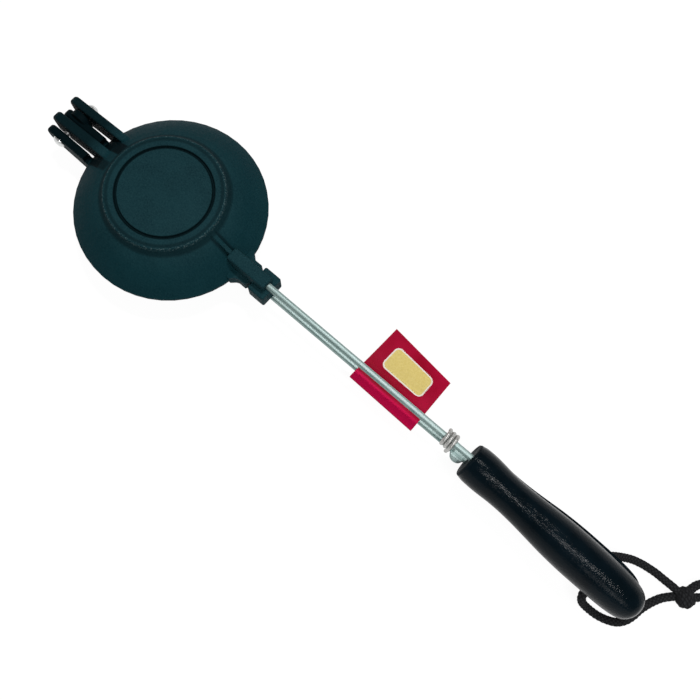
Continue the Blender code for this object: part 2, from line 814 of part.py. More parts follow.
def make_card(collection):
    """Folds the card label round the lower rod, its flaps lying to +Y."""
    level = SPLIT_HEIGHT - ROD_RISE
    near = card_section(CARD_FOLD_REACH, CARD_FLAP_REACH)
    far = card_section(
        CARD_FOLD_REACH + CARD_FOLD_SLANT,
        CARD_FLAP_REACH - CARD_FLAP_SLANT,
    )
    shape = bmesh.new()
    rows = []
    for (y, up), (far_y, far_up) in zip(near, far):
        lean = CARD_LEAN * (y + CARD_FOLD_REACH) / (CARD_FLAP_REACH + CARD_FOLD_REACH)
        rows.append((
            shape.verts.new((CARD_START + lean, y, level + up)),
            shape.verts.new((CARD_START + CARD_LENGTH, far_y, level + far_up)),
        ))
    for (a, b), (c, d) in zip(rows, rows[1:]):
        shape.faces.new((a, b, d, c))
    mesh = bpy.data.meshes.new("label_card")
    shape.to_mesh(mesh)
    shape.free()
    card = add_object("label_card", mesh, collection)
    solidify = card.modifiers.new("Solidify", "SOLIDIFY")
    solidify.thickness = CARD_THICKNESS
    solidify.offset = 0
    return bake(card)


def make_knot(collection):
    """Makes the outer shape of the cord's knot."""
    mesh = bpy.data.meshes.new("cord_knot")
    shape = bmesh.new()
    bmesh.ops.create_uvsphere(shape, u_segments=20, v_segments=12, radius=1)
    bmesh.ops.scale(shape, vec=KNOT_SIZE, verts=shape.verts)
    bmesh.ops.translate(shape, vec=KNOT_PLACE, verts=shape.verts)
    shape.to_mesh(mesh)
    shape.free()
    return add_object("cord_knot", mesh, collection)


def finish(item, kind, smooth, pivot, parent=None):
    """Gives a piece its material, shading, origin and parent."""
    item.data.materials.clear()
    item.data.materials.append(make_material(kind, item.name))
    if smooth and item.type == "MESH":
        item.data.shade_smooth()
        item.data.set_sharp_from_angle(angle=SMOOTH_ANGLE)
    item.data.transform(Matrix.Translation(-pivot))
    item.location = pivot
    if parent:
        item.parent = parent
        item.location = pivot - parent.matrix_world.translation


def add_axis(name, point, collection, parent=None):
    """Adds an empty that marks a joint's axis."""
    empty = add_object(name, None, collection)
    empty.empty_display_size = PIN_HEAD_RADIUS
    empty.location = point
    if parent:
        empty.parent = parent
        empty.location = point - parent.matrix_world.translation
    bpy.context.view_layer.update()
    return empty


def main():
    """Builds the sandwich iron, closed, resting on its lower plate."""
    clear_objects()
    parts = make_collection("sandwich_iron")

    hinge = add_axis("hinge_axis", PIN_POINT, parts)
    rod_line = Vector((KEEPER_MIDDLE, 0, SPLIT_HEIGHT + ROD_RISE))
    keeper_line = add_axis("keeper_axis", rod_line, parts, hinge)

    ear_shape = (UPPER_EAR_DROP, UPPER_EAR_DROP_AT_ROOT, UPPER_EAR_LOW_ROUND)
    upper_plate = make_casting(ear_shape, UPPER_EAR_SPACE, 0, parts)
    upper_plate.name = "upper_plate"
    upper_plate.data.transform(Matrix.Translation(PIN_POINT))
    finish(upper_plate, "cast_iron", True, PIN_POINT, hinge)

    ear_shape = (LOWER_EAR_REACH, LOWER_EAR_REACH, EAR_TIP_ROUND)
    boss_reach = LOWER_EAR_SPACE - EAR_BOSS_GAP
    lower_plate = make_casting(ear_shape, LOWER_EAR_SPACE, boss_reach, parts)
    lower_plate.name = "lower_plate"
    lower_plate.data.transform(Matrix.Rotation(math.radians(180.0), 4, "X"))
    lower_plate.data.transform(Matrix.Translation(PIN_POINT))
    finish(lower_plate, "cast_iron", True, PIN_POINT)

    finish(make_pin(parts), "rivet_steel", True, PIN_POINT)

    upper_end = Vector((SOCKET_BOTTOM, 0, SPLIT_HEIGHT + ROD_RISE))
    lower_end = Vector((SOCKET_BOTTOM, 0, SPLIT_HEIGHT - ROD_RISE))
    finish(make_rod("upper_rod", 1, parts), "zinc_steel", True, upper_end, hinge)
    finish(make_rod("lower_rod", -1, parts), "zinc_steel", True, lower_end)

    grip_front = Vector((GRIP_START, 0, SPLIT_HEIGHT))
    upper_grip = make_grip("upper_grip", 1, GRIP_LENGTH, UPPER_GRIP_YAW, parts)
    finish(upper_grip, "black_lacquer", True, grip_front, hinge)
    short = GRIP_LENGTH - LOWER_GRIP_SHORT
    lower_grip = make_grip("lower_grip", -1, short, LOWER_GRIP_YAW, parts)
    finish(lower_grip, "black_lacquer", True, grip_front)

    points = keeper_points()
    print("keeper: least gap to itself", round(least_gap(points), 6))
    keeper = tube("wire_keeper", points, KEEPER_WIRE_RADIUS, 1, parts)
    finish(keeper, "spring_steel", True, rod_line, keeper_line)

    card_corner = Vector((CARD_START, 0, SPLIT_HEIGHT - ROD_RISE))
    finish(make_card(parts), "red_card", False, card_corner)

    knot_point = Vector(KNOT_PLACE)
    for name, route in (
        ("cord_strand_a", STRAND_A_ROUTE),
        ("cord_strand_b", STRAND_B_ROUTE),
        ("cord_loop", LOOP_ROUTE),
    ):
        cord = tube(name, smooth_points(route, CORD_STEP), CORD_RADIUS, 3, parts)
        finish(cord, "black_cord", True, Vector(route[0]))
    finish(make_knot(parts), "black_cord", True, knot_point)


main()
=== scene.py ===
# %% [markdown]
# # Dressing a round sandwich iron
# The iron is two cast plates on a hinge, two long steel rods with half-round
# wooden grips, a wire keeper, a folded card label and a braided wrist cord.
# Its measured solids are loaded first and stay where they are. Each cell then
# makes one piece or one finish over them, so every new piece sits exactly
# where the solid says.

# %% Load the measured solids
import math

import bmesh
import bpy
from mathutils import Matrix, Vector


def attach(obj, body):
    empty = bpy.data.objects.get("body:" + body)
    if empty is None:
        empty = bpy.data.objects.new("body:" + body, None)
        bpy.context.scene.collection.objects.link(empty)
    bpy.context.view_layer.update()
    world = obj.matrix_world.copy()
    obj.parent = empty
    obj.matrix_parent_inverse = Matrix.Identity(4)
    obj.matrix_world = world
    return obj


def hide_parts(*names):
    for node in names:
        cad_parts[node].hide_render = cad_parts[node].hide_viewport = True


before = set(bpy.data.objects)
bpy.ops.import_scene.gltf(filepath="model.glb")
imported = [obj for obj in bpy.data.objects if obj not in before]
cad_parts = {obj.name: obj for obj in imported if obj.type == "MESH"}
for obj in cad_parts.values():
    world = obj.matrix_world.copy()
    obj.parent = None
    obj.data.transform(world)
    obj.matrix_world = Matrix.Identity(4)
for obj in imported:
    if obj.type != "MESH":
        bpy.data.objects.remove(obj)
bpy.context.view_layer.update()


# %% [markdown]
# ## The camera
# A product picture like this is taken from almost straight above, with the
# iron laid from corner to corner. The camera could be aimed with a Track To
# constraint, but a rotation matrix says its roll as well, so its three rows
# are written out: what is right, what is down and what is ahead in the image.

# %% Set up the camera
CAMERA_PLACE = Vector((0.1852668, -0.0787179, 0.4259739))
IMAGE_RIGHT = Vector((0.75895637, 0.64933642, 0.04845041))
IMAGE_DOWN = Vector((0.64200345, -0.73380873, -0.22216282))
IMAGE_AHEAD = Vector((-0.10870507, 0.19971722, -0.97380503))


def add_object(name, data):
    """Puts new data into the scene as an object."""
    piece = bpy.data.objects.new(name, data)
    bpy.context.scene.collection.objects.link(piece)
    return piece


camera_data = bpy.data.cameras.new("camera")
camera_data.lens = 36.0
camera_data.sensor_width = 36.0
camera_data.clip_start = 0.01
camera = add_object("camera", camera_data)
turn = Matrix((IMAGE_RIGHT, -IMAGE_DOWN, -IMAGE_AHEAD)).transposed().to_4x4()
camera.matrix_world = Matrix.Translation(CAMERA_PLACE) @ turn
bpy.context.scene.camera = camera
print("camera stands", round(CAMERA_PLACE.z, 3), "m above the floor")


# %% [markdown]
# ## Helpers for working as by hand
# Operators act on whatever is selected, and the loaded solids start out
# selected, so every step begins with nothing selected. A modifier is always
# applied at once, which leaves a plain mesh to carry on with.

# %% Select, enter and leave edit mode
def select_none():
    """Lets go of everything that is selected."""
    bpy.ops.object.select_all(action="DESELECT")


def select_only(piece):
    """Makes one object the selected and active one."""
    select_none()
    piece.select_set(True)
    bpy.context.view_layer.objects.active = piece


def edit(piece):
    """Opens a piece in edit mode with everything in it selected."""
    select_only(piece)
    bpy.ops.object.mode_set(mode="EDIT")
    bpy.ops.mesh.select_mode(type="VERT")
    bpy.ops.mesh.select_all(action="SELECT")


def leave_edit():
    """Turns the faces outwards and goes back to object mode."""
    bpy.ops.mesh.select_all(action="SELECT")
    bpy.ops.mesh.normals_make_consistent(inside=False)
    bpy.ops.object.mode_set(mode="OBJECT")


print("loaded solids:", len(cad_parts))

# %% Change a piece and shade it
SMOOTH_ANGLE = 35.0


def settle(piece):
    """Moves an object's place and turn into its mesh."""
    select_only(piece)
    bpy.ops.object.transform_apply(location=True, rotation=True, scale=True)


def apply_modifier(piece, kind, **settings):
    """Adds one modifier, sets it and applies it."""
    select_only(piece)
    modifier = piece.modifiers.new(kind.title(), kind)
    for name, value in settings.items():
        setattr(modifier, name, value)
    bpy.ops.object.modifier_apply(modifier=modifier.name)


def cut_away(piece, cutter):
    """Cuts one solid out of another and deletes the cutter."""
    apply_modifier(piece, "BOOLEAN", operation="DIFFERENCE", solver="EXACT", object=cutter)
    bpy.data.objects.remove(cutter, do_unlink=True)


def round_edges(piece, width, segments, sharper_than):
    """Bevels the edges that turn by more than some degrees."""
    apply_modifier(
        piece, "BEVEL", width=width, segments=segments,
        limit_method="ANGLE", angle_limit=math.radians(sharper_than),
    )


def smooth_by_angle(piece, degrees=SMOOTH_ANGLE):
    """Shades smoothly across edges that are flatter than an angle."""
    select_only(piece)
    bpy.ops.object.shade_smooth_by_angle(angle=math.radians(degrees))


def face_count(piece):
    """Says how many faces a piece has."""
    return len(piece.data.polygons)


print("edges flatter than", SMOOTH_ANGLE, "degrees are shaded smooth")

# %% [markdown]
# ## Rounded bars along the rods' direction
# The grips, rods and pin are all turned forms. A Screw modifier could turn a
# profile, but a circle that is extruded station by station and resized at
# each one works the same way as drawing it by hand, and lets a single
# station be squeezed flat later.

# %% Build a bar from a circle
BAR_SIDES = 48


def bar_along_x(name, stations, sides=BAR_SIDES):
    """Extrudes a circle through (place along X, radius) stations."""
    place, radius = stations[0]
    select_none()
    bpy.ops.mesh.primitive_circle_add(
        vertices=sides, radius=radius, fill_type="NGON",
        location=(place, 0, 0), rotation=(0, math.radians(90.0), 0),
    )
    bar = bpy.context.object
    bar.name = name
    settle(bar)
    edit(bar)
    for (place, radius), (next_place, next_radius) in zip(stations, stations[1:]):
        step = (next_place - place, 0, 0)
        bpy.ops.mesh.extrude_region_move(TRANSFORM_OT_translate={"value": step})
        share = next_radius / radius
        bpy.ops.transform.resize(value=(1, share, share), center_override=(next_place, 0, 0))
    leave_edit()
    return bar


print("a bar has", BAR_SIDES, "sides")

# %% [markdown]
# ## Smooth lines through a few points
# The cord's routes and the grips' outline are given by a few points each. A
# curve object could join them, but the points in between are needed as
# numbers, so each span is worked out as a cubic that meets its neighbours.

# %% Draw smooth lines and even out their points
def curve_through(points, steps):
    """Reads a smooth line through points, with extra ones in each span."""
    points = [Vector(point) for point in points]
    padded = [2 * points[0] - points[1], *points, 2 * points[-1] - points[-2]]
    line = []
    for a, b, c, d in zip(padded, padded[1:], padded[2:], padded[3:]):
        for i in range(steps):
            t = i / steps
            line.append(0.5 * (
                2 * b
                + (c - a) * t
                + (2 * a - 5 * b + 4 * c - d) * t ** 2
                + (3 * b - a - 3 * c + d) * t ** 3
            ))
    line.append(points[-1])
    return line


def line_length(line):
    """Adds up the length of a line of points."""
    return sum((after - before).length for before, after in zip(line, line[1:]))


def evenly(line, step):
    """Reads points a fixed step apart from a line."""
    total = line_length(line)
    count = max(2, round(total / step))
    even = [line[0]]
    walked = 0.0
    for before, after in zip(line, line[1:]):
        span = (after - before).length
        while len(even) < count and walked + span >= total * len(even) / count:
            share = (total * len(even) / count - walked) / span
            even.append(before.lerp(after, share))
        walked += span
    even.append(line[-1])
    return even


print("line helpers ready")

# %% [markdown]
# ## The braided cord
# The wrist cord is a tube of plaited yarn, 4.8 mm thick. A smooth curve with
# a bevel would give a hose, so the tube is laid out ring by ring and each
# point is lifted by the pattern of the plait: two sets of strands that run
# round it in opposite directions and pass over and under each other. The
# same pattern is stored as the tube's UV map, the length along it in the
# first number and the way round in the second, for the yarn in the finish.

# %% Pattern of the plait
PLAIT_ROUND = 6
PLAIT_LENGTH = 0.0026
OVER_ROUNDNESS = 0.7
UNDER_ROUNDNESS = 0.3


def plait_height(along, around):
    """How high the yarn stands at a point of the plait, from 0 to 1."""
    left = along / PLAIT_LENGTH + PLAIT_ROUND * around
    right = along / PLAIT_LENGTH - PLAIT_ROUND * around
    over = math.sin(math.pi * (left % 1))
    under = math.sin(math.pi * (right % 1))
    if (math.floor(left) + math.floor(right)) % 2 == 0:
        over, under = under, over
    return over ** OVER_ROUNDNESS * under ** UNDER_ROUNDNESS


print("one turn of the plait is", PLAIT_LENGTH, "m long")

# %% Plait a tube along a line
CORD_RADIUS = 0.0024
CORD_SIDES = 40
CORD_RING_STEP = 0.0004
PLAIT_RELIEF = 0.00042
PLAIT_MEAN_HEIGHT = 0.6


def plaited_tube(name, line):
    """Builds a closed plaited tube along a line, with its own UV map."""
    points = evenly(line, CORD_RING_STEP)
    shape = bmesh.new()
    rings = []
    side = None
    along = 0.0
    places = []
    for i, point in enumerate(points):
        ahead = (points[min(i + 1, len(points) - 1)] - points[max(i - 1, 0)]).normalized()
        if side is None:
            side = ahead.orthogonal()
        side = (side - ahead * side.dot(ahead)).normalized()
        other = ahead.cross(side)
        if i:
            along += (point - points[i - 1]).length
        places.append(along)
        ring = []
        for k in range(CORD_SIDES):
            angle = math.tau * k / CORD_SIDES
            lift = PLAIT_RELIEF * (plait_height(along, k / CORD_SIDES) - PLAIT_MEAN_HEIGHT)
            out = side * math.cos(angle) + other * math.sin(angle)
            ring.append(shape.verts.new(point + out * (CORD_RADIUS + lift)))
        rings.append(ring)
    uv = shape.loops.layers.uv.new("UVMap")
    for i, (ring, following) in enumerate(zip(rings, rings[1:])):
        for k in range(CORD_SIDES):
            m = (k + 1) % CORD_SIDES
            face = shape.faces.new((ring[k], ring[m], following[m], following[k]))
            corners = ((i, k), (i, k + 1), (i + 1, k + 1), (i + 1, k))
            for loop, (row, column) in zip(face.loops, corners):
                loop[uv].uv = (places[row], column / CORD_SIDES)
    shape.faces.new(list(reversed(rings[0])))
    shape.faces.new(rings[-1])
    for face in shape.faces:
        face.smooth = True
    mesh = bpy.data.meshes.new(name)
    shape.to_mesh(mesh)
    shape.free()
    return add_object(name, mesh)


print("the cord's tube has", CORD_SIDES, "sides")

# %% [markdown]
# ## Where the cord lies
# One length of cord goes through the lower grip. A strand comes out on each
# side, drops to whatever the iron lies on, and both run to the knot. Beyond
# the knot the wrist loop lies flat. The routes repeat the solids' points,
# and each has one more point at the knot, where the cord goes into it.

# %% Routes of the cord, in metres
STRAND_A_ROUTE = [
    (0.3308, 0.00015, 0.01485), (0.3308, 0.0060, 0.01485), (0.3310, 0.0095, 0.01480),
    (0.3319, 0.0119, 0.01420), (0.3336, 0.0137, 0.01280), (0.3368, 0.0158, 0.01050),
    (0.3410, 0.0184, 0.00750), (0.3464, 0.0212, 0.00480), (0.3523, 0.0231, 0.00320),
    (0.3573, 0.0240, 0.00280), (0.3620, 0.0245, 0.00290), (0.3680, 0.0244, 0.00370),
    (0.3716, 0.0242, 0.00490), (0.3750, 0.0240, 0.00560), (0.3778, 0.0238, 0.00590),
]
STRAND_B_ROUTE = [
    (0.3308, -0.00015, 0.01485), (0.3308, -0.0060, 0.01485), (0.3308, -0.0110, 0.01485),
    (0.3314, -0.0145, 0.01412), (0.3330, -0.0171, 0.01212), (0.3351, -0.0180, 0.00940),
    (0.3378, -0.0182, 0.00670),
    (0.3432, -0.0180, 0.00400), (0.3488, -0.0174, 0.00270), (0.3544, -0.0159, 0.00265),
    (0.3597, -0.0132, 0.00265), (0.3633, -0.0090, 0.00265), (0.3653, -0.0040, 0.00265),
    (0.3665, 0.0016, 0.00265), (0.3682, 0.0064, 0.00265), (0.3702, 0.0108, 0.00265),
    (0.3728, 0.0152, 0.00280), (0.3766, 0.0196, 0.00340), (0.3790, 0.0219, 0.00440),
]
LOOP_ROUTE = [
    (0.3815, 0.0284, 0.00580), (0.3823, 0.0306, 0.00550), (0.3840, 0.0342, 0.00440),
    (0.3870, 0.0378, 0.00300), (0.3920, 0.0440, 0.00265), (0.4000, 0.0535, 0.00265),
    (0.4100, 0.0640, 0.00265), (0.4220, 0.0725, 0.00265), (0.4350, 0.0765, 0.00265),
    (0.4465, 0.0735, 0.00265), (0.4530, 0.0640, 0.00265), (0.4520, 0.0530, 0.00265),
    (0.4440, 0.0450, 0.00265), (0.4320, 0.0400, 0.00265), (0.4190, 0.0372, 0.00265),
    (0.4070, 0.0355, 0.00265), (0.3975, 0.0340, 0.00280), (0.3915, 0.0314, 0.00380),
    (0.3870, 0.0280, 0.00520), (0.3848, 0.0264, 0.00560),
]
ROUTE_STEPS = 24
strand_a_line, strand_b_line, loop_line = (
    curve_through(route, ROUTE_STEPS) for route in (STRAND_A_ROUTE, STRAND_B_ROUTE, LOOP_ROUTE)
)
print("routes:", len(strand_a_line), len(strand_b_line), len(loop_line), "points")

# %% Lay the two strands and the loop
strand_a = plaited_tube("strand_a", strand_a_line)
strand_b = plaited_tube("strand_b", strand_b_line)
wrist_loop = plaited_tube("wrist_loop", loop_line)
print("cord tubes:", face_count(strand_a), face_count(strand_b), face_count(wrist_loop), "faces")

# %% [markdown]
# ## The knot
# Where the strands meet, the cord is wrapped round itself and pulled tight.
# A full knot could be traced as one line, but only its outer wraps show, so
# a helix of the same plaited cord is wound round the strands' direction,
# widest in the middle like a ball of yarn, over a core that closes it.

# %% Wind the knot
KNOT_PLACE = Vector((0.3818, 0.0237, 0.0058))
KNOT_AXIS = Vector((0.80, 0.60, 0))
KNOT_ACROSS = Vector((-0.60, 0.80, 0))
KNOT_WRAP_ACROSS = 0.0040
KNOT_WRAP_UP = 0.0033
KNOT_WRAP_REACH = 0.0036
KNOT_TURNS = 3.0
KNOT_STEPS = 64
KNOT_FIRST_ANGLE = -2.2
KNOT_END_SHARE = 0.25
KNOT_FULLNESS = 0.6
KNOT_CORE = (0.0060, 0.0060, 0.0052)

wrap_points = []
for i in range(KNOT_STEPS + 1):
    share = i / KNOT_STEPS
    angle = KNOT_FIRST_ANGLE + math.tau * KNOT_TURNS * share
    bulge = math.sin(math.pi * share) ** KNOT_FULLNESS
    ends = KNOT_END_SHARE + (1 - KNOT_END_SHARE) * bulge
    wrap_points.append(
        KNOT_PLACE
        + KNOT_AXIS * KNOT_WRAP_REACH * (2 * share - 1)
        + KNOT_ACROSS * KNOT_WRAP_ACROSS * ends * math.cos(angle)
        + Vector((0, 0, KNOT_WRAP_UP * ends * math.sin(angle)))
    )
knot = plaited_tube("knot", wrap_points)
select_none()
bpy.ops.mesh.primitive_uv_sphere_add(segments=32, ring_count=20, location=KNOT_PLACE)
core = bpy.context.object
core.scale = KNOT_CORE
settle(core)
bpy.ops.object.shade_smooth()
knot.select_set(True)
bpy.context.view_layer.objects.active = knot
bpy.ops.object.join()
print("knot:", face_count(knot), "faces")

# %% Say what each length of cord is
CORD_SIDE_EXIT = 0.0109
CORD_HOLE_X = 0.3308
CORD_HOLE_Z = 0.01485

for tube, line, exit_point in (
    (strand_a, strand_a_line, (CORD_HOLE_X, CORD_SIDE_EXIT, CORD_HOLE_Z)),
    (strand_b, strand_b_line, (CORD_HOLE_X, -CORD_SIDE_EXIT, CORD_HOLE_Z)),
    (wrist_loop, loop_line, LOOP_ROUTE[1]),
):
    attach(tube, "lower_half")
    print(tube.name, "is", round(line_length(line), 4), "m long")
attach(knot, "lower_half")
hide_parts("cord_strand_a")
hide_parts("cord_strand_b")
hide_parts("cord_loop")
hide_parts("cord_knot")


# %% [markdown]
# ## The wooden grips
# Each grip is half of a turned handle, sawn along its middle and lacquered.
# The whole handle is drawn out from a circle, made a little higher than it
# is wide, and cut in two with bisect. The sawn edge is then rounded with a
# Bevel, as sandpaper would do it, and the rod's bore is cut last.

# %% Sizes of the grips
GRIP_LENGTH = 0.1232
GRIP_RADIUS = 0.01345
GRIP_FRONT_RADIUS = 0.01123
GRIP_FRONT_ROUND = 0.0014
GRIP_OUTLINE = [
    (0.040, 0.885), (0.092, 0.896), (0.141, 0.870), (0.190, 0.833), (0.247, 0.818),
    (0.312, 0.833), (0.377, 0.870), (0.442, 0.918), (0.506, 0.963), (0.571, 0.989),
    (0.640, 1.000), (0.720, 0.989), (0.815, 0.967), (0.880, 0.929), (0.929, 0.862),
    (0.963, 0.755), (0.984, 0.590), (0.996, 0.370), (1.000, 0.0),
]
GRIP_OUTLINE_STEPS = 4
GRIP_TIP_SHARE = 0.04


def grip_stations(length):
    """Lists the grip's (place, radius) stations, from its front to its tip."""
    stations = []
    for degrees in range(0, 91, 15):
        angle = math.radians(degrees)
        stations.append((
            GRIP_FRONT_ROUND * (1 - math.cos(angle)),
            GRIP_FRONT_RADIUS - GRIP_FRONT_ROUND * (1 - math.sin(angle)),
        ))
    outline = [Vector((GRIP_FRONT_ROUND, GRIP_FRONT_RADIUS))]
    outline += [Vector((length * along, GRIP_RADIUS * out)) for along, out in GRIP_OUTLINE]
    beyond_tip = Vector((outline[-2].x, -outline[-2].y))
    fine = curve_through(outline + [beyond_tip], GRIP_OUTLINE_STEPS)
    thinnest = GRIP_RADIUS * GRIP_TIP_SHARE
    return stations + [(p.x, p.y) for p in fine[1:] if p.y > thinnest and p.x < length]


print("a grip has", len(grip_stations(GRIP_LENGTH)), "stations")

# %% Draw out, saw and bore a grip
SPLIT_HEIGHT = 0.02245
SPLIT_GAP = 0.0003
GRIP_START = 0.2336
GRIP_SIDES = 64
GRIP_HEIGHT_SHARE = 1.18
GRIP_EDGE = 0.0009
GRIP_SHARP = 50.0
ROD_RISE = 0.00815
ROD_END = 0.3176
ROD_BORE_RADIUS = 0.0023
BORE_SIDES = 40
BORE_BEFORE_GRIP = 0.0020
BORE_BEYOND_ROD = 0.0003


def bore(radius, start, end):
    """Adds a cylinder between two points, to cut a hole with."""
    start, end = Vector(start), Vector(end)
    select_none()
    bpy.ops.mesh.primitive_cylinder_add(
        vertices=BORE_SIDES, radius=radius, depth=(end - start).length,
        location=(start + end) / 2,
        rotation=(end - start).to_track_quat("Z", "Y").to_euler(),
    )
    return bpy.context.object


def half_grip(name, length, yaw, over):
    """Draws out a handle, saws it in half and bores it for its rod."""
    grip = bar_along_x(name, grip_stations(length), GRIP_SIDES)
    edit(grip)
    bpy.ops.transform.resize(value=(1, 1, GRIP_HEIGHT_SHARE), center_override=(0, 0, 0))
    bpy.ops.mesh.bisect(
        plane_co=(0, 0, SPLIT_GAP / 2), plane_no=(0, 0, 1), use_fill=True, clear_inner=True,
    )
    leave_edit()
    round_edges(grip, GRIP_EDGE, segments=4, sharper_than=GRIP_SHARP)
    grip.rotation_euler = (0 if over else math.pi, 0, yaw)
    grip.location = (GRIP_START, 0, SPLIT_HEIGHT)
    settle(grip)
    height = SPLIT_HEIGHT + (ROD_RISE if over else -ROD_RISE)
    cut_away(grip, bore(
        ROD_BORE_RADIUS,
        (GRIP_START - BORE_BEFORE_GRIP, 0, height), (ROD_END + BORE_BEYOND_ROD, 0, height),
    ))
    return grip


print("bores have", BORE_SIDES, "sides")

# %% Model the two grips
LOWER_GRIP_LENGTH = 0.1196
UPPER_GRIP_YAW = math.radians(-1.65)
LOWER_GRIP_YAW = math.radians(-0.3)
CORD_HOLE_RADIUS = 0.0034
CORD_HOLE_REACH = 0.0200
GRIP_SMOOTH_ANGLE = 40.0

upper_grip = half_grip("grip_upper", GRIP_LENGTH, UPPER_GRIP_YAW, True)
lower_grip = half_grip("grip_lower", LOWER_GRIP_LENGTH, LOWER_GRIP_YAW, False)
cut_away(lower_grip, bore(
    CORD_HOLE_RADIUS,
    (CORD_HOLE_X, -CORD_HOLE_REACH, CORD_HOLE_Z), (CORD_HOLE_X, CORD_HOLE_REACH, CORD_HOLE_Z),
))
for grip, node, body in (
    (upper_grip, "upper_grip", "upper_half"),
    (lower_grip, "lower_grip", "lower_half"),
):
    smooth_by_angle(grip, GRIP_SMOOTH_ANGLE)
    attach(grip, body)
    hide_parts(node)
    print(grip.name, face_count(grip), "faces")


# %% [markdown]
# ## The rods
# Each half has one drawn steel rod, 4 mm thick. The lower one is pressed flat
# just in front of its grip, and that flat keeps the wire keeper from sliding
# on to the wood. It could be a disc set on the rod, but pressing squeezes the
# rod itself wider and thinner, so those stations are resized one by one.

# %% Stations of a rod
ROD_RADIUS = 0.0020
ROD_CHAMFER = 0.0004
SOCKET_BOTTOM = 0.0580
STOP_MIDDLE = 0.2282
STATION_STEP = 0.0005
STATIONS_BESIDE_STOP = 13


def rod_stations(pressed):
    """Lists the rod's stations, close together where it is pressed flat."""
    chamfered = ROD_RADIUS - ROD_CHAMFER
    stations = [(SOCKET_BOTTOM, chamfered), (SOCKET_BOTTOM + ROD_CHAMFER, ROD_RADIUS)]
    if pressed:
        for i in range(-STATIONS_BESIDE_STOP, STATIONS_BESIDE_STOP + 1):
            stations.append((STOP_MIDDLE + STATION_STEP * i, ROD_RADIUS))
    return stations + [(ROD_END - ROD_CHAMFER, ROD_RADIUS), (ROD_END, chamfered)]


print("a pressed rod has", len(rod_stations(True)), "stations")

# %% Press the stop and model the two rods
STOP_REACH = 0.0050
STOP_HALF_THICKNESS = 0.0011
STOP_OFFSET = -0.0006
STOP_FLAT_REACH = 0.0030
STOP_SLOPE_REACH = 0.0022
STATIONS_PRESSED = 10
SAME_PLACE = 0.0001


def press_flat(rod):
    """Squeezes the stations at the stop: wide and thin in the middle."""
    edit(rod)
    shape = bmesh.from_edit_mesh(rod.data)
    for i in range(-STATIONS_PRESSED, STATIONS_PRESSED + 1):
        place = STOP_MIDDLE + STATION_STEP * i
        reach = STATION_STEP * abs(i)
        wide = max(math.sqrt(max(STOP_REACH ** 2 - reach ** 2, 0)), ROD_RADIUS) / ROD_RADIUS
        near = min(1.0, max(0.0, (reach - STOP_FLAT_REACH) / STOP_SLOPE_REACH))
        thin = (STOP_HALF_THICKNESS + (ROD_RADIUS - STOP_HALF_THICKNESS) * near) / ROD_RADIUS
        bpy.ops.mesh.select_all(action="DESELECT")
        for corner in shape.verts:
            corner.select = abs(corner.co.x - place) < SAME_PLACE
        shape.select_flush(True)
        bpy.ops.transform.resize(value=(1, wide, thin), center_override=(place, 0, 0))
        bpy.ops.transform.translate(value=(0, STOP_OFFSET * (1 - near), 0))
        shape = bmesh.from_edit_mesh(rod.data)
    leave_edit()


rod_upper = bar_along_x("rod_upper", rod_stations(False))
rod_lower = bar_along_x("rod_lower", rod_stations(True))
press_flat(rod_lower)
for rod, node, body, height in (
    (rod_upper, "upper_rod", "upper_half", SPLIT_HEIGHT + ROD_RISE),
    (rod_lower, "lower_rod", "lower_half", SPLIT_HEIGHT - ROD_RISE),
):
    rod.location = (0, 0, height)
    settle(rod)
    smooth_by_angle(rod)
    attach(rod, body)
    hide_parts(node)
    print(rod.name, face_count(rod), "faces")


# %% [markdown]
# ## The wire keeper
# Two and a half turns of spring wire ride on the upper rod. Slid back, its
# long tail can catch on the lower rod's stop and keep the iron shut.
# Wire is a curve with a round bevel, so the coil's line is worked out first:
# it lies square to the rod over the top and steps along beneath it.

# %% Wind the keeper
WIRE_RADIUS = 0.00118
COIL_RADIUS = 0.0044
COIL_PITCH = 0.0026
COIL_SQUARENESS = 1.2
COIL_HEIGHT = 0.029715
COIL_START = 0.215047
COIL_TURNS = 2.5
COIL_STEPS = 48
SHORT_TAIL = 0.0012
LONG_TAIL = 0.0064
TAIL_FLARE = 0.0007
WIRE_END_ROUND = 0.00025
WIRE_END_SHARP = 70.0


def coil_advance(angle):
    """How far the wire has moved along the rod at an angle."""
    return COIL_PITCH * (angle + COIL_SQUARENESS * (math.cos(angle) - 1)) / math.tau


wire_line = [Vector((COIL_START, COIL_RADIUS + TAIL_FLARE, COIL_HEIGHT - SHORT_TAIL))]
for i in range(int(COIL_TURNS * COIL_STEPS) + 1):
    angle = math.tau * i / COIL_STEPS
    wire_line.append(Vector((
        COIL_START + coil_advance(angle),
        COIL_RADIUS * math.cos(angle),
        COIL_HEIGHT + COIL_RADIUS * math.sin(angle),
    )))
coil_end = COIL_START + coil_advance(math.tau * COIL_TURNS)
wire_line.append(Vector((coil_end, -COIL_RADIUS - TAIL_FLARE, COIL_HEIGHT - LONG_TAIL)))

wire_curve = bpy.data.curves.new("keeper", "CURVE")
wire_curve.dimensions = "3D"
wire_curve.bevel_depth = WIRE_RADIUS
wire_curve.bevel_resolution = 6
wire_curve.use_fill_caps = True
wire_spline = wire_curve.splines.new("POLY")
wire_spline.points.add(len(wire_line) - 1)
for target, point in zip(wire_spline.points, wire_line):
    target.co = (*point, 1)
select_only(add_object("keeper", wire_curve))
bpy.ops.object.convert(target="MESH")
keeper = bpy.context.object
round_edges(keeper, WIRE_END_ROUND, segments=3, sharper_than=WIRE_END_SHARP)
smooth_by_angle(keeper)
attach(keeper, "keeper")
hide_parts("wire_keeper")
print("keeper:", face_count(keeper), "faces,", round(line_length(wire_line), 4), "m of wire")


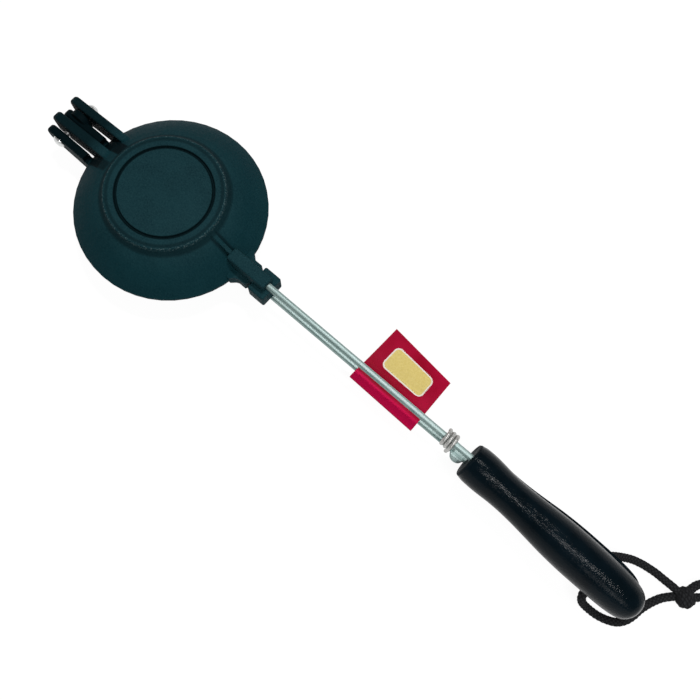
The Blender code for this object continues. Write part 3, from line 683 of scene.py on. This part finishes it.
# %% [markdown]
# ## The hinge pin
# The pin is a rivet: a domed head on one side and a lower, hammered end on
# the other. Both are drawn out of the same bar by resizing its stations.

# %% Model the pin
PIN_PLACE = Vector((-0.0824, 0, SPLIT_HEIGHT))
PIN_RADIUS = 0.0022
PIN_SEAT = 0.0140
PIN_HEAD_RADIUS = 0.0040
PIN_HEAD_HEIGHT = 0.0036
PIN_PEEN_HEIGHT = 0.0022


def domed_end(height, outwards):
    """Lists stations of a dome from its edge to its top."""
    stations = []
    for degrees in range(0, 86, 7):
        angle = math.radians(degrees)
        stations.append((
            outwards * (PIN_SEAT + height * math.sin(angle)),
            PIN_HEAD_RADIUS * math.cos(angle),
        ))
    return stations


pin = bar_along_x("pin", [
    *reversed(domed_end(PIN_PEEN_HEIGHT, -1)),
    (-PIN_SEAT, PIN_RADIUS), (PIN_SEAT, PIN_RADIUS),
    *domed_end(PIN_HEAD_HEIGHT, 1),
])
pin.rotation_euler = (0, 0, math.radians(90.0))
pin.location = PIN_PLACE
settle(pin)
smooth_by_angle(pin)
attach(pin, "lower_half")
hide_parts("hinge_pin")
print("pin:", face_count(pin), "faces")


# %% [markdown]
# ## The card label
# A strip of coated card is folded round the lower rod and its two flaps lie
# together on one side. Paper bends in one direction only, so the strip is
# made by drawing an edge along the folded section, given its thickness with
# Solidify, and its cut edges are left sharp.

# %% Draw the folded section
CARD_CLEAR = 0.0025
CARD_APART = 0.0004
CARD_MEET = 0.0062
CARD_CURL = 0.0016
CARD_CURL_TIGHTNESS = 1.35
FOLD_REACH = 0.0068
FLAP_REACH = 0.0340
FOLD_SLANT = 0.0010
FLAP_SLANT = 0.0045
FLAP_STEPS = 10
FOLD_STEPS = 16
BESIDE_ROD = [(0.0040, 0.0010), (0.0024, 0.0021), (0.0008, CARD_CLEAR)]


def card_section(fold_reach, flap_reach):
    """Lists the folded section as (y, height), flap to flap."""
    upper = []
    for i in range(FLAP_STEPS + 1):
        share = i / FLAP_STEPS
        lift = CARD_CURL * max(0.0, 1 - CARD_CURL_TIGHTNESS * share) ** 2
        upper.append((flap_reach + (CARD_MEET - flap_reach) * share, CARD_APART + lift))
    upper += BESIDE_ROD
    bend = []
    for i in range(FOLD_STEPS + 1):
        angle = math.radians(90.0 + 180.0 * i / FOLD_STEPS)
        bend.append((
            CARD_CLEAR - fold_reach + CARD_CLEAR * math.cos(angle),
            CARD_CLEAR * math.sin(angle),
        ))
    lower = [(y, -up if y < CARD_MEET else -CARD_APART) for y, up in reversed(upper)]
    return upper + bend + lower


near_section = card_section(FOLD_REACH, FLAP_REACH)
far_section = card_section(FOLD_REACH + FOLD_SLANT, FLAP_REACH - FLAP_SLANT)
print("the card's section has", len(near_section), "points")

# %% Fold the card
CARD_START = 0.1498
CARD_LENGTH = 0.0484
CARD_LEAN = 0.0026
CARD_LEVEL = SPLIT_HEIGHT - ROD_RISE
CARD_THICKNESS = 0.0004
CARD_FACES_LONG = 16
CARD_SMOOTH_ANGLE = 50.0

select_none()
bpy.ops.mesh.primitive_plane_add(size=1.0)
card = bpy.context.object
card.name = "card"
edit(card)
shape = bmesh.from_edit_mesh(card.data)
shape.clear()
uv = shape.loops.layers.uv.verify()
rows = []
along = 0.0
for (y, up), (far_y, far_up) in zip(near_section, far_section):
    lean = CARD_LEAN * (y + FOLD_REACH) / (FLAP_REACH + FOLD_REACH)
    near = Vector((CARD_START + lean, y, CARD_LEVEL + up))
    far = Vector((CARD_START + CARD_LENGTH, far_y, CARD_LEVEL + far_up))
    if rows:
        along += (near - rows[-1][0][0].co).length
    row = []
    for k in range(CARD_FACES_LONG + 1):
        share = k / CARD_FACES_LONG
        row.append((shape.verts.new(near.lerp(far, share)), CARD_LENGTH * share, along))
    rows.append(row)
for row, following in zip(rows, rows[1:]):
    for k in range(CARD_FACES_LONG):
        corners = (row[k], row[k + 1], following[k + 1], following[k])
        face = shape.faces.new([corner[0] for corner in corners])
        for loop, corner in zip(face.loops, corners):
            loop[uv].uv = corner[1:]
bmesh.update_edit_mesh(card.data)
bpy.ops.object.mode_set(mode="OBJECT")
apply_modifier(card, "SOLIDIFY", thickness=CARD_THICKNESS, offset=0.0, use_even_offset=True)
settle(card)
smooth_by_angle(card, CARD_SMOOTH_ANGLE)
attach(card, "lower_half")
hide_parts("label_card")
print("card:", face_count(card), "faces, folded strip", round(along, 4), "m")


# %% [markdown]
# ## Building finishes from nodes
# Every finish is a Principled shader whose colour, roughness and bump come
# from noise in Object coordinates, in metres, so a grain of half a
# millimetre is simply a noise with a scale near 2000.

# %% Start a finish, add nodes and give it to pieces
def new_finish(name):
    """Starts a material and returns it, its tree and its shader."""
    material = bpy.data.materials.new(name)
    material.use_nodes = True
    tree = material.node_tree
    return material, tree, tree.nodes["Principled BSDF"]


def set_inputs(tree, node, values):
    """Gives inputs what another node puts out, or else a plain value."""
    for name, value in values.items():
        if isinstance(value, bpy.types.NodeSocket):
            tree.links.new(value, node.inputs[name])
        else:
            node.inputs[name].default_value = value


def add_node(tree, kind, values):
    """Adds a node with its inputs, which go by name or by number."""
    node = tree.nodes.new(kind)
    set_inputs(tree, node, values)
    return node


def give_finish(finish, *pieces):
    """Takes any other material off some pieces and gives them this one."""
    for piece in pieces:
        piece.data.materials.clear()
        piece.data.materials.append(finish)
    print(finish.name, "is on", ", ".join(piece.name for piece in pieces))


print("finish helpers ready")

# %% Place patterns and read noise
def place_pattern(tree, squeeze=(1, 1, 1), source="Object"):
    """Gives pattern coordinates, squeezed along each axis."""
    where = tree.nodes.new("ShaderNodeTexCoord").outputs[source]
    values = {"Vector": where, "Scale": squeeze}
    return add_node(tree, "ShaderNodeMapping", values).outputs["Vector"]


def axes(tree, vector):
    """Splits coordinates into their X, Y and Z."""
    return add_node(tree, "ShaderNodeSeparateXYZ", {"Vector": vector}).outputs


def noise(tree, place, scale, detail, rough):
    """Adds a noise and returns its value."""
    values = {"Vector": place, "Scale": scale, "Detail": detail, "Roughness": rough}
    return add_node(tree, "ShaderNodeTexNoise", values).outputs["Fac"]


def stretch(tree, value, start, end, low=0.0, high=1.0):
    """Maps a value from start..end to low..high and holds it there."""
    return add_node(tree, "ShaderNodeMapRange", {
        "Value": value, "From Min": start, "From Max": end, "To Min": low, "To Max": high,
    }).outputs["Result"]


def spread(tree, noise_value, low, high):
    """Spreads a noise, which stays within about 0.3..0.7, over low..high."""
    return stretch(tree, noise_value, 0.3, 0.7, low, high)


print("patterns are placed in metres")

# %% Calculate with nodes
def sum_up(tree, operation, *values):
    """Joins values with one Math node."""
    node = tree.nodes.new("ShaderNodeMath")
    node.operation = operation
    set_inputs(tree, node, dict(enumerate(values)))
    return node.outputs["Value"]


def times(tree, value, *others):
    """Multiplies values, as shares of shares."""
    for other in others:
        value = sum_up(tree, "MULTIPLY", value, other)
    return value


def greatest(tree, value, *others):
    """Takes the greatest of some values."""
    for other in others:
        value = sum_up(tree, "MAXIMUM", value, other)
    return value


print("values are joined by Math nodes")

# %% Mix colours and roughen with nodes
def blend_colours(tree, value, *stops):
    """Turns a value into colour through a ramp of two (place, colour) stops."""
    ramp = tree.nodes.new("ShaderNodeValToRGB")
    for element, (place, colour) in zip(ramp.color_ramp.elements, stops):
        element.position = place
        element.color = (*colour, 1)
    tree.links.new(value, ramp.inputs["Fac"])
    return ramp.outputs["Color"]


def mix_colours(tree, share, first, second):
    """Mixes two colours by a value; a colour may be three numbers."""
    node = tree.nodes.new("ShaderNodeMix")
    node.data_type = "RGBA"
    first, second = (
        (*colour, 1) if isinstance(colour, tuple) else colour for colour in (first, second)
    )
    # A Mix node's colours are its inputs 6 and 7.
    set_inputs(tree, node, {"Factor": share, 6: first, 7: second})
    return node.outputs[2]


def add_bump(tree, shader, height, distance, before=None):
    """Roughens the surface by a height, given in metres."""
    bump = add_node(tree, "ShaderNodeBump", {"Height": height, "Distance": distance})
    if before is not None:
        set_inputs(tree, bump, {"Normal": before})
    set_inputs(tree, shader, {"Normal": bump.outputs["Normal"]})
    return bump.outputs["Normal"]


print("depths of bumps are in metres")

# %% [markdown]
# ## Sand-cast plates
# The plates are cast in sand and coated blue-black. Close up they show the
# sand's grain; further off, the coat is cloudy and a little lighter where it
# is thin. Shade is painted in as well: the dome's slopes are darker and
# greener, and the groove, the outer half of the ring and the corner below
# the ring are dark. The ring's edge has pale specks. Those places are
# circles round the plates' middle, so they are found by their distance
# from it.
#
# Painted shade also lies where the ears and the rib stand on the dome: the
# hinge ears are darker, and nearly black between them. Those places are
# found by limits in X and Y, a line just below the ears' tops, and a slope
# that tells a dome's outside from its bowl. Each limit is written as a
# middle, a reach on both sides of it, and the width over which it fades, in
# metres.

# %% Find the turned features by their distance from the middle
# The groove, the ring's outer half and the corner below the ring get painted shade; the ring's
# edge gets pale specks.
GROOVE = (0.0285, 0.0008, 0.0006)
RING_DIP = (0.0337, 0.0005, 0.0010)
RING_EDGE = (0.0357, 0.0003, 0.0006)
RING_CORNER = (0.0376, 0.0007, 0.0016)
DOME_RING = (0.0590, 0.0110, 0.0120)
FACE_DEPTH = 0.0180
DOME_SLOPE = 0.80
DOME_SKIN_MOST = 0.0520


def closeness(tree, value, middle, reach, fade):
    """Is 1 within a reach of a middle value and fades to 0 beyond it."""
    off = sum_up(tree, "ABSOLUTE", sum_up(tree, "SUBTRACT", value, middle))
    return stretch(tree, off, reach + fade, reach)


cast_finish, tree, shader = new_finish("cast_iron_coat")
place = place_pattern(tree)
where = axes(tree, place)
squares = [times(tree, where[axis], where[axis]) for axis in ("X", "Y")]
radius = sum_up(tree, "SQRT", sum_up(tree, "ADD", *squares))
above = sum_up(tree, "SUBTRACT", where["Z"], SPLIT_HEIGHT)
depth = sum_up(tree, "ABSOLUTE", above)
outside = sum_up(tree, "GREATER_THAN", depth, FACE_DEPTH)
skin = sum_up(tree, "MULTIPLY_ADD", radius, DOME_SLOPE, depth)
groove, ring_dip, ring_edge, corner = (
    closeness(tree, radius, *limits) for limits in (GROOVE, RING_DIP, RING_EDGE, RING_CORNER)
)
# Painted shade over the dome's slopes.
dome_shade = times(
    tree, sum_up(tree, "LESS_THAN", skin, DOME_SKIN_MOST), closeness(tree, radius, *DOME_RING),
)
print("groove at", GROOVE[0], "ring edge at", RING_EDGE[0])

# %% Find the ears, the rib and their corners
# The lower plate is the upper one turned over, so its Y is mirrored.
EAR_ROOT_X = -0.0500
EAR_FADE = 0.0120
EAR_TOP_SLOPE = 0.128
EAR_TOP_AT_ZERO = 0.0190
BETWEEN_EARS_X = (-0.0690, 0.0252, 0.0030)
BETWEEN_EARS_Y = (0.0, 0.0133, 0.0004)
EAR_ROOTS_X = (-0.0425, 0.0034, 0.0016)
ROOT_INSIDE_Y = (0.0038, 0.0036, 0.0008)
ROOT_OUTSIDE_Y = (-0.0100, 0.0026, 0.0012)
RIB_X = (0.0440, 0.0064, 0.0008)
RIB_FEET_Y = (0.0, 0.0026, 0.0014)
RIB_TOP_Y = (0.0, 0.0013, 0.0003)
DOME_SKIN = 0.0484
DOME_SKIN_LEAST = 0.0478
OUTER_ROOT_SHARE = 0.7
ROOTS_SHADE_SHARE = 0.93
FEET_SHADE_SHARE = 0.66

# Painted shade goes on the ears, between them, beside their roots and along the rib's feet.
ears = stretch(tree, where["X"], EAR_ROOT_X, EAR_ROOT_X - EAR_FADE)
ear_top = sum_up(tree, "MULTIPLY_ADD", where["X"], EAR_TOP_SLOPE, EAR_TOP_AT_ZERO)
between = times(
    tree, closeness(tree, where["X"], *BETWEEN_EARS_X),
    closeness(tree, where["Y"], *BETWEEN_EARS_Y),
    sum_up(tree, "LESS_THAN", depth, ear_top), sum_up(tree, "GREATER_THAN", skin, DOME_SKIN),
)
across = times(tree, where["Y"], sum_up(tree, "SIGN", above))
roots = times(
    tree,
    greatest(
        tree, closeness(tree, across, *ROOT_INSIDE_Y),
        times(tree, closeness(tree, across, *ROOT_OUTSIDE_Y), OUTER_ROOT_SHARE),
    ),
    closeness(tree, where["X"], *EAR_ROOTS_X), ROOTS_SHADE_SHARE,
)
feet = times(
    tree,
    sum_up(
        tree, "SUBTRACT",
        closeness(tree, across, *RIB_FEET_Y), closeness(tree, across, *RIB_TOP_Y),
    ),
    closeness(tree, where["X"], *RIB_X), FEET_SHADE_SHARE,
)
corners = times(
    tree, greatest(tree, roots, feet), sum_up(tree, "GREATER_THAN", skin, DOME_SKIN_LEAST),
)
print("rib's feet reach", RIB_FEET_Y[1], "m from its middle")

# %% Finish for the castings
COAT_THIN = (0.0030, 0.0180, 0.0240)
COAT_FULL = (0.0070, 0.0330, 0.0410)
COAT_ON_SAND = (0.0160, 0.0520, 0.0600)
# Painted shade: the dome's slopes are darker and greener.
DOME_SHADE_COLOUR = (0.0004, 0.0230, 0.0300)
COAT_PALE_SPECK = (0.090, 0.135, 0.140)
# Painted shade colour: it goes in the groove, on the ring's outer half and in the corner below
# the ring. It also goes on the ears, between them, at their roots and at the rib's feet.
PAINTED_SHADE_COLOUR = (0.0012, 0.0050, 0.0066)
SAND_SHARE = 0.75
DOME_SHADE_SHARE = 0.42
SPECK_SHARE = 0.80
CORNER_SHADE_SHARE = 0.60
DIP_SHADE_SHARE = 0.55
TURNED_SHADE_SHARE = 0.85
EARS_SHADE_SHARE = 0.72
BETWEEN_SHADE_SHARE = 0.95
SPECK_GRAIN = (0.72, 0.10, 0.10)

clouds = noise(tree, place, scale=55.0, detail=5.0, rough=0.6)
grain = noise(tree, place, scale=1050.0, detail=4.0, rough=0.7)
pits = noise(tree, place, scale=330.0, detail=3.0, rough=0.5)
coat = blend_colours(tree, clouds, (0.30, COAT_THIN), (0.70, COAT_FULL))
# Pale specks along the ring's edge.
edge_specks = times(tree, ring_edge, outside, closeness(tree, grain, *SPECK_GRAIN))
for share, colour in (
    (times(tree, spread(tree, grain, low=0.0, high=1.0), SAND_SHARE), COAT_ON_SAND),
    (times(tree, dome_shade, DOME_SHADE_SHARE), DOME_SHADE_COLOUR),
    (times(tree, edge_specks, SPECK_SHARE), COAT_PALE_SPECK),
):
    coat = mix_colours(tree, share, coat, colour)
# Painted shade: the groove, the ring's outer half and the corner below the ring. Below that come
# the ears, between them, their roots and the rib's feet.
turned = greatest(
    tree, groove, times(tree, corner, CORNER_SHADE_SHARE), times(tree, ring_dip, DIP_SHADE_SHARE),
)
painted_shade = greatest(
    tree, times(tree, turned, outside, TURNED_SHADE_SHARE), corners,
    times(tree, ears, EARS_SHADE_SHARE), times(tree, between, BETWEEN_SHADE_SHARE),
)
set_inputs(tree, shader, {
    "Base Color": mix_colours(tree, painted_shade, coat, PAINTED_SHADE_COLOUR),
    "Roughness": spread(tree, clouds, low=0.46, high=0.60),
    "Specular IOR Level": 0.015,
})
pitted = add_bump(tree, shader, pits, distance=0.00012)
add_bump(tree, shader, grain, distance=0.00020, before=pitted)
give_finish(cast_finish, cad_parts["lower_plate"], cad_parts["upper_plate"])

# %% [markdown]
# ## Zinc-plated rods
# Drawn rod keeps fine lines along its length, and thin zinc gives it a pale
# green-grey cast with a few dull patches. Stretching the noise along X makes
# the drawn lines.

# %% Finish for the rods
ZINC_DARK = (0.15, 0.24, 0.23)
ZINC_BRIGHT = (0.50, 0.62, 0.61)
ZINC_DULL = (0.36, 0.46, 0.43)

rod_finish, tree, shader = new_finish("zinc_rod")
drawn = place_pattern(tree, squeeze=(2, 620, 620))
lines = noise(tree, drawn, scale=1.0, detail=1.0, rough=0.5)
patches = noise(tree, place_pattern(tree), scale=160.0, detail=4.0, rough=0.6)
zinc = blend_colours(tree, lines, (0.38, ZINC_DARK), (0.62, ZINC_BRIGHT))
set_inputs(tree, shader, {
    "Base Color": mix_colours(
        tree, spread(tree, patches, low=0.0, high=0.5), zinc, ZINC_DULL,
    ),
    "Metallic": 0.65,
    "Roughness": spread(tree, lines, low=0.48, high=0.60),
})
add_bump(tree, shader, lines, distance=0.00001)
give_finish(rod_finish, rod_upper, rod_lower)

# %% [markdown]
# ## Wire and pin
# Both are bare steel with small marks all over. The wire is greyer and
# duller, and the pin is polished by its hammering. One loop makes both.

# %% Finishes for the spring wire and the pin
for name, piece, dark, bright, metallic, smoothest, roughest, fineness, depth in (
    (
        "spring_wire", keeper, (0.34, 0.34, 0.33), (0.62, 0.62, 0.60),
        0.85, 0.42, 0.58, 900.0, 0.00003,
    ),
    (
        "rivet_steel", pin, (0.46, 0.47, 0.47), (0.86, 0.87, 0.86),
        0.90, 0.22, 0.42, 700.0, 0.00005,
    ),
):
    steel, tree, shader = new_finish(name)
    marks = noise(tree, place_pattern(tree), fineness, detail=4.0, rough=0.6)
    set_inputs(tree, shader, {
        "Base Color": blend_colours(tree, marks, (0.3, dark), (0.7, bright)),
        "Metallic": metallic,
        "Roughness": spread(tree, marks, smoothest, roughest),
    })
    add_bump(tree, shader, marks, depth)
    give_finish(steel, piece)

# %% [markdown]
# ## Black lacquer
# The grips are dipped in black lacquer. It is glossy but never flat: the
# wood's grain shows through as long shallow lines, and the coat itself has
# a coarse orange peel that breaks up the highlight. The sawn front end soaks
# the lacquer up and stays dull.

# %% Finish for the grips
LACQUER_DEEP = (0.0010, 0.0038, 0.0060)
LACQUER_THIN = (0.0024, 0.0072, 0.0112)
FRONT_DULLNESS = 0.45

lacquer, tree, shader = new_finish("black_lacquer")
place = place_pattern(tree)
front = sum_up(tree, "LESS_THAN", axes(tree, place)["X"], GRIP_START + GRIP_FRONT_ROUND)
peel = noise(tree, place, scale=820.0, detail=3.0, rough=0.6)
grown = place_pattern(tree, squeeze=(40, 600, 600))
wood = noise(tree, grown, scale=1.0, detail=3.0, rough=0.5)
tint = noise(tree, place, scale=70.0, detail=3.0, rough=0.5)
gloss = spread(tree, peel, low=0.10, high=0.20)
set_inputs(tree, shader, {
    "Base Color": blend_colours(tree, tint, (0.3, LACQUER_DEEP), (0.7, LACQUER_THIN)),
    "Roughness": sum_up(tree, "MULTIPLY_ADD", front, FRONT_DULLNESS, gloss),
    "Specular IOR Level": 0.075,
})
grained = add_bump(tree, shader, wood, distance=0.00006)
add_bump(tree, shader, peel, distance=0.00018, before=grained)
give_finish(lacquer, upper_grip, lower_grip)

# %% [markdown]
# ## Red card
# The label is red card with a plain pale panel on its upper flap. The panel
# is a rounded rectangle drawn in the card's own UV map, which is in metres
# along and across the strip. Where it is folded round the rod, a lighter,
# pinker red is painted on as a sheen.

# %% Draw the panel in the card's UV map
PANEL_MIDDLE = (0.0242, 0.0150)
PANEL_HALF = (0.0150, 0.0075)
PANEL_CORNER = 0.0030
PANEL_LINE = 0.0009

card_finish, tree, shader = new_finish("red_card")
where = axes(tree, place_pattern(tree, source="UV"))
inset = []
for axis, middle, half in zip(("X", "Y"), PANEL_MIDDLE, PANEL_HALF):
    off = sum_up(tree, "ABSOLUTE", sum_up(tree, "SUBTRACT", where[axis], middle))
    past = sum_up(tree, "MAXIMUM", sum_up(tree, "SUBTRACT", off, half - PANEL_CORNER), 0.0)
    inset.append(times(tree, past, past))
reach = sum_up(tree, "SQRT", sum_up(tree, "ADD", *inset))
panel = sum_up(tree, "LESS_THAN", reach, PANEL_CORNER)
border = sum_up(tree, "LESS_THAN", reach, PANEL_CORNER + PANEL_LINE)
print("panel reaches", PANEL_HALF, "m from its middle")

# %% Finish for the card
CARD_DEEP_RED = (0.29, 0.0020, 0.0180)
CARD_RED = (0.40, 0.0050, 0.0360)
# Painted sheen: a lighter, pinker red where the card folds round the rod.
FOLD_SHEEN_RED = (0.60, 0.0050, 0.0700)
BORDER_PALE = (0.80, 0.74, 0.66)
PANEL_DARK = (0.66, 0.52, 0.16)
PANEL_PALE = (0.74, 0.60, 0.22)
FOLD_FROM = 0.0350
FOLD_FULL = 0.0364

place = place_pattern(tree)
fibre = noise(tree, place, scale=900.0, detail=4.0, rough=0.6)
sheen = noise(tree, place, scale=45.0, detail=3.0, rough=0.5)
colour = blend_colours(tree, sheen, (0.35, CARD_DEEP_RED), (0.65, CARD_RED))
cream = blend_colours(tree, fibre, (0.3, PANEL_DARK), (0.7, PANEL_PALE))
for share, over in (
    (stretch(tree, where["Y"], FOLD_FROM, FOLD_FULL), FOLD_SHEEN_RED),
    (border, BORDER_PALE),
    (panel, cream),
):
    colour = mix_colours(tree, share, colour, over)
set_inputs(tree, shader, {
    "Base Color": colour,
    "Roughness": spread(tree, fibre, low=0.30, high=0.42),
    "Specular IOR Level": 0.015,
})
add_bump(tree, shader, fibre, distance=0.00002)
give_finish(card_finish, card)

# %% [markdown]
# ## Black plaited yarn
# The plait is already in the tube's shape. The finish adds what is finer:
# threads along each strand, painted shade in the gaps between strands, and
# a dry, dusty black. The threads follow the UV map, so they turn with the cord.

# %% Find the strands and threads in the cord's UV map
THREADS_PER_STRAND = 4

cord_finish, tree, shader = new_finish("plaited_yarn")
where = axes(tree, place_pattern(tree, source="UV"))
along = times(tree, where["X"], 1 / PLAIT_LENGTH)
around = times(tree, where["Y"], PLAIT_ROUND)
left = sum_up(tree, "ADD", along, around)
right = sum_up(tree, "SUBTRACT", along, around)
cells = sum_up(tree, "ADD", sum_up(tree, "FLOOR", left), sum_up(tree, "FLOOR", right))
over = sum_up(tree, "PINGPONG", cells, 1.0)
crest_and_gap_shade = []
threads = []
for lane in (left, right):
    crest_and_gap_shade.append(sum_up(tree, "SINE", times(tree, sum_up(tree, "FRACT", lane), math.pi)))
    wave = sum_up(tree, "SINE", times(tree, lane, math.tau * THREADS_PER_STRAND))
    threads.append(sum_up(tree, "MULTIPLY_ADD", wave, 0.5, 0.5))
# A Mix node's plain values are its inputs 2 and 3.
thread = add_node(tree, "ShaderNodeMix", {"Factor": over, 2: threads[1], 3: threads[0]})
print("strands with", THREADS_PER_STRAND, "threads each")

# %% Finish for the cord
# The darker colour is the black yarn and the painted shade in the gaps.
YARN_BLACK_AND_GAP_SHADE = (0.004, 0.004, 0.005)
YARN_DUSTY = (0.024, 0.025, 0.027)
FUZZ_SHARE = 0.6

fuzz = noise(tree, place_pattern(tree), scale=1600.0, detail=4.0, rough=0.65)
# The strands' crests come out lighter and the gaps between them darker: painted shade.
yarn = sum_up(tree, "MULTIPLY_ADD", times(tree, *crest_and_gap_shade), 0.5, times(tree, fuzz, FUZZ_SHARE))
set_inputs(tree, shader, {
    "Base Color": blend_colours(tree, yarn, (0.22, YARN_BLACK_AND_GAP_SHADE), (0.75, YARN_DUSTY)),
    "Roughness": spread(tree, fuzz, low=0.78, high=0.92),
    "Specular IOR Level": 0.12,
})
lift = sum_up(tree, "MULTIPLY_ADD", thread.outputs[0], 0.5, fuzz)
add_bump(tree, shader, lift, distance=0.00012)
give_finish(cord_finish, strand_a, strand_b, wrist_loop, knot)


# %% [markdown]
# ## Floor and light
# The picture has a plain white ground. The floor is white by its own colour:
# to the camera and in reflections it glows nearly as much as it is lit, so
# that it reads as white and still keeps the iron's soft shadow, while it
# throws only ordinary pale light back on the iron. Near the horizon the sky
# is treated alike, as a studio's white walls would show. A long narrow lamp
# over the grips draws the thin highlight along their middle.

# %% Tell direct views from scattered light
def seen_directly(tree):
    """Gives 1 to the camera and in mirror images, and 0 to scattered light."""
    path = tree.nodes.new("ShaderNodeLightPath").outputs
    return greatest(
        tree, path["Is Camera Ray"], path["Is Glossy Ray"], path["Is Transmission Ray"],
    )


def diffuse(tree, grey):
    """Adds a plain matt shader of one grey."""
    values = {"Color": (grey, grey, grey, 1)}
    return add_node(tree, "ShaderNodeBsdfDiffuse", values).outputs["BSDF"]


print("floor helpers ready")

# %% Lay the floor
FLOOR_SIZE = 14.0
FLOOR_PLACE = (0.15, 0, -0.0002)
FLOOR_LIT = 0.50
FLOOR_SEEN = 0.12
FLOOR_GLOW = 0.93

select_none()
bpy.ops.mesh.primitive_plane_add(size=FLOOR_SIZE, location=FLOOR_PLACE)
floor = bpy.context.object
floor.name = "floor"
settle(floor)
floor_finish = bpy.data.materials.new("floor_white")
floor_finish.use_nodes = True
tree = floor_finish.node_tree
tree.nodes.clear()
glow = add_node(tree, "ShaderNodeEmission", {"Strength": FLOOR_GLOW})
glowing = add_node(tree, "ShaderNodeAddShader", {
    0: diffuse(tree, FLOOR_SEEN), 1: glow.outputs["Emission"],
})
choose = add_node(tree, "ShaderNodeMixShader", {
    "Fac": seen_directly(tree), 1: diffuse(tree, FLOOR_LIT), 2: glowing.outputs["Shader"],
})
add_node(tree, "ShaderNodeOutputMaterial", {"Surface": choose.outputs["Shader"]})
give_finish(floor_finish, floor)

# %% Paint the sky
SKY_LOW = 0.05
SKY_HIGH = 0.95
SKY_NEAR_FLOOR = 0.20
SKY_OVERHEAD = 0.175
WALL_GLOW = 0.80
WALL_TOP = 0.32
WALL_FULL = 0.16

world = bpy.data.worlds.new("studio")
bpy.context.scene.world = world
world.use_nodes = True
tree = world.node_tree
tree.nodes.clear()
up = axes(tree, tree.nodes.new("ShaderNodeTexCoord").outputs["Generated"])["Z"]
plain = stretch(tree, up, SKY_LOW, SKY_HIGH, SKY_NEAR_FLOOR, SKY_OVERHEAD)
wall = times(tree, seen_directly(tree), stretch(tree, up, WALL_TOP, WALL_FULL))
strength = sum_up(tree, "MULTIPLY_ADD", wall, WALL_GLOW, plain)
sky = add_node(tree, "ShaderNodeBackground", {"Color": (1, 1, 1, 1), "Strength": strength})
add_node(tree, "ShaderNodeOutputWorld", {"Surface": sky.outputs["Background"]})
print("sky strength", SKY_NEAR_FLOOR, "to", SKY_OVERHEAD)

# %% Hang the lamps
for name, place, target, size, power in (
    ("key", (0.02, 0.42, 1.25), (0.15, 0, 0), (0.30, 0.10), 7.6),
    ("strip", (0.62, -0.25, 1.25), (0.32, 0, 0.03), (0.60, 0.02), 6.6),
    ("rim", (0.75, -0.55, 0.60), (0.10, 0, 0.02), (0.20, 0.20), 0.9),
):
    data = bpy.data.lights.new(name, "AREA")
    data.shape = "RECTANGLE"
    data.size, data.size_y = size
    data.energy = power
    lamp = add_object(name, data)
    lamp.location = place
    lamp.rotation_euler = (Vector(target) - Vector(place)).to_track_quat("-Z", "Y").to_euler()
    print(name, "lamp gives", power, "W")
bpy.context.scene.view_settings.view_transform = "Standard"
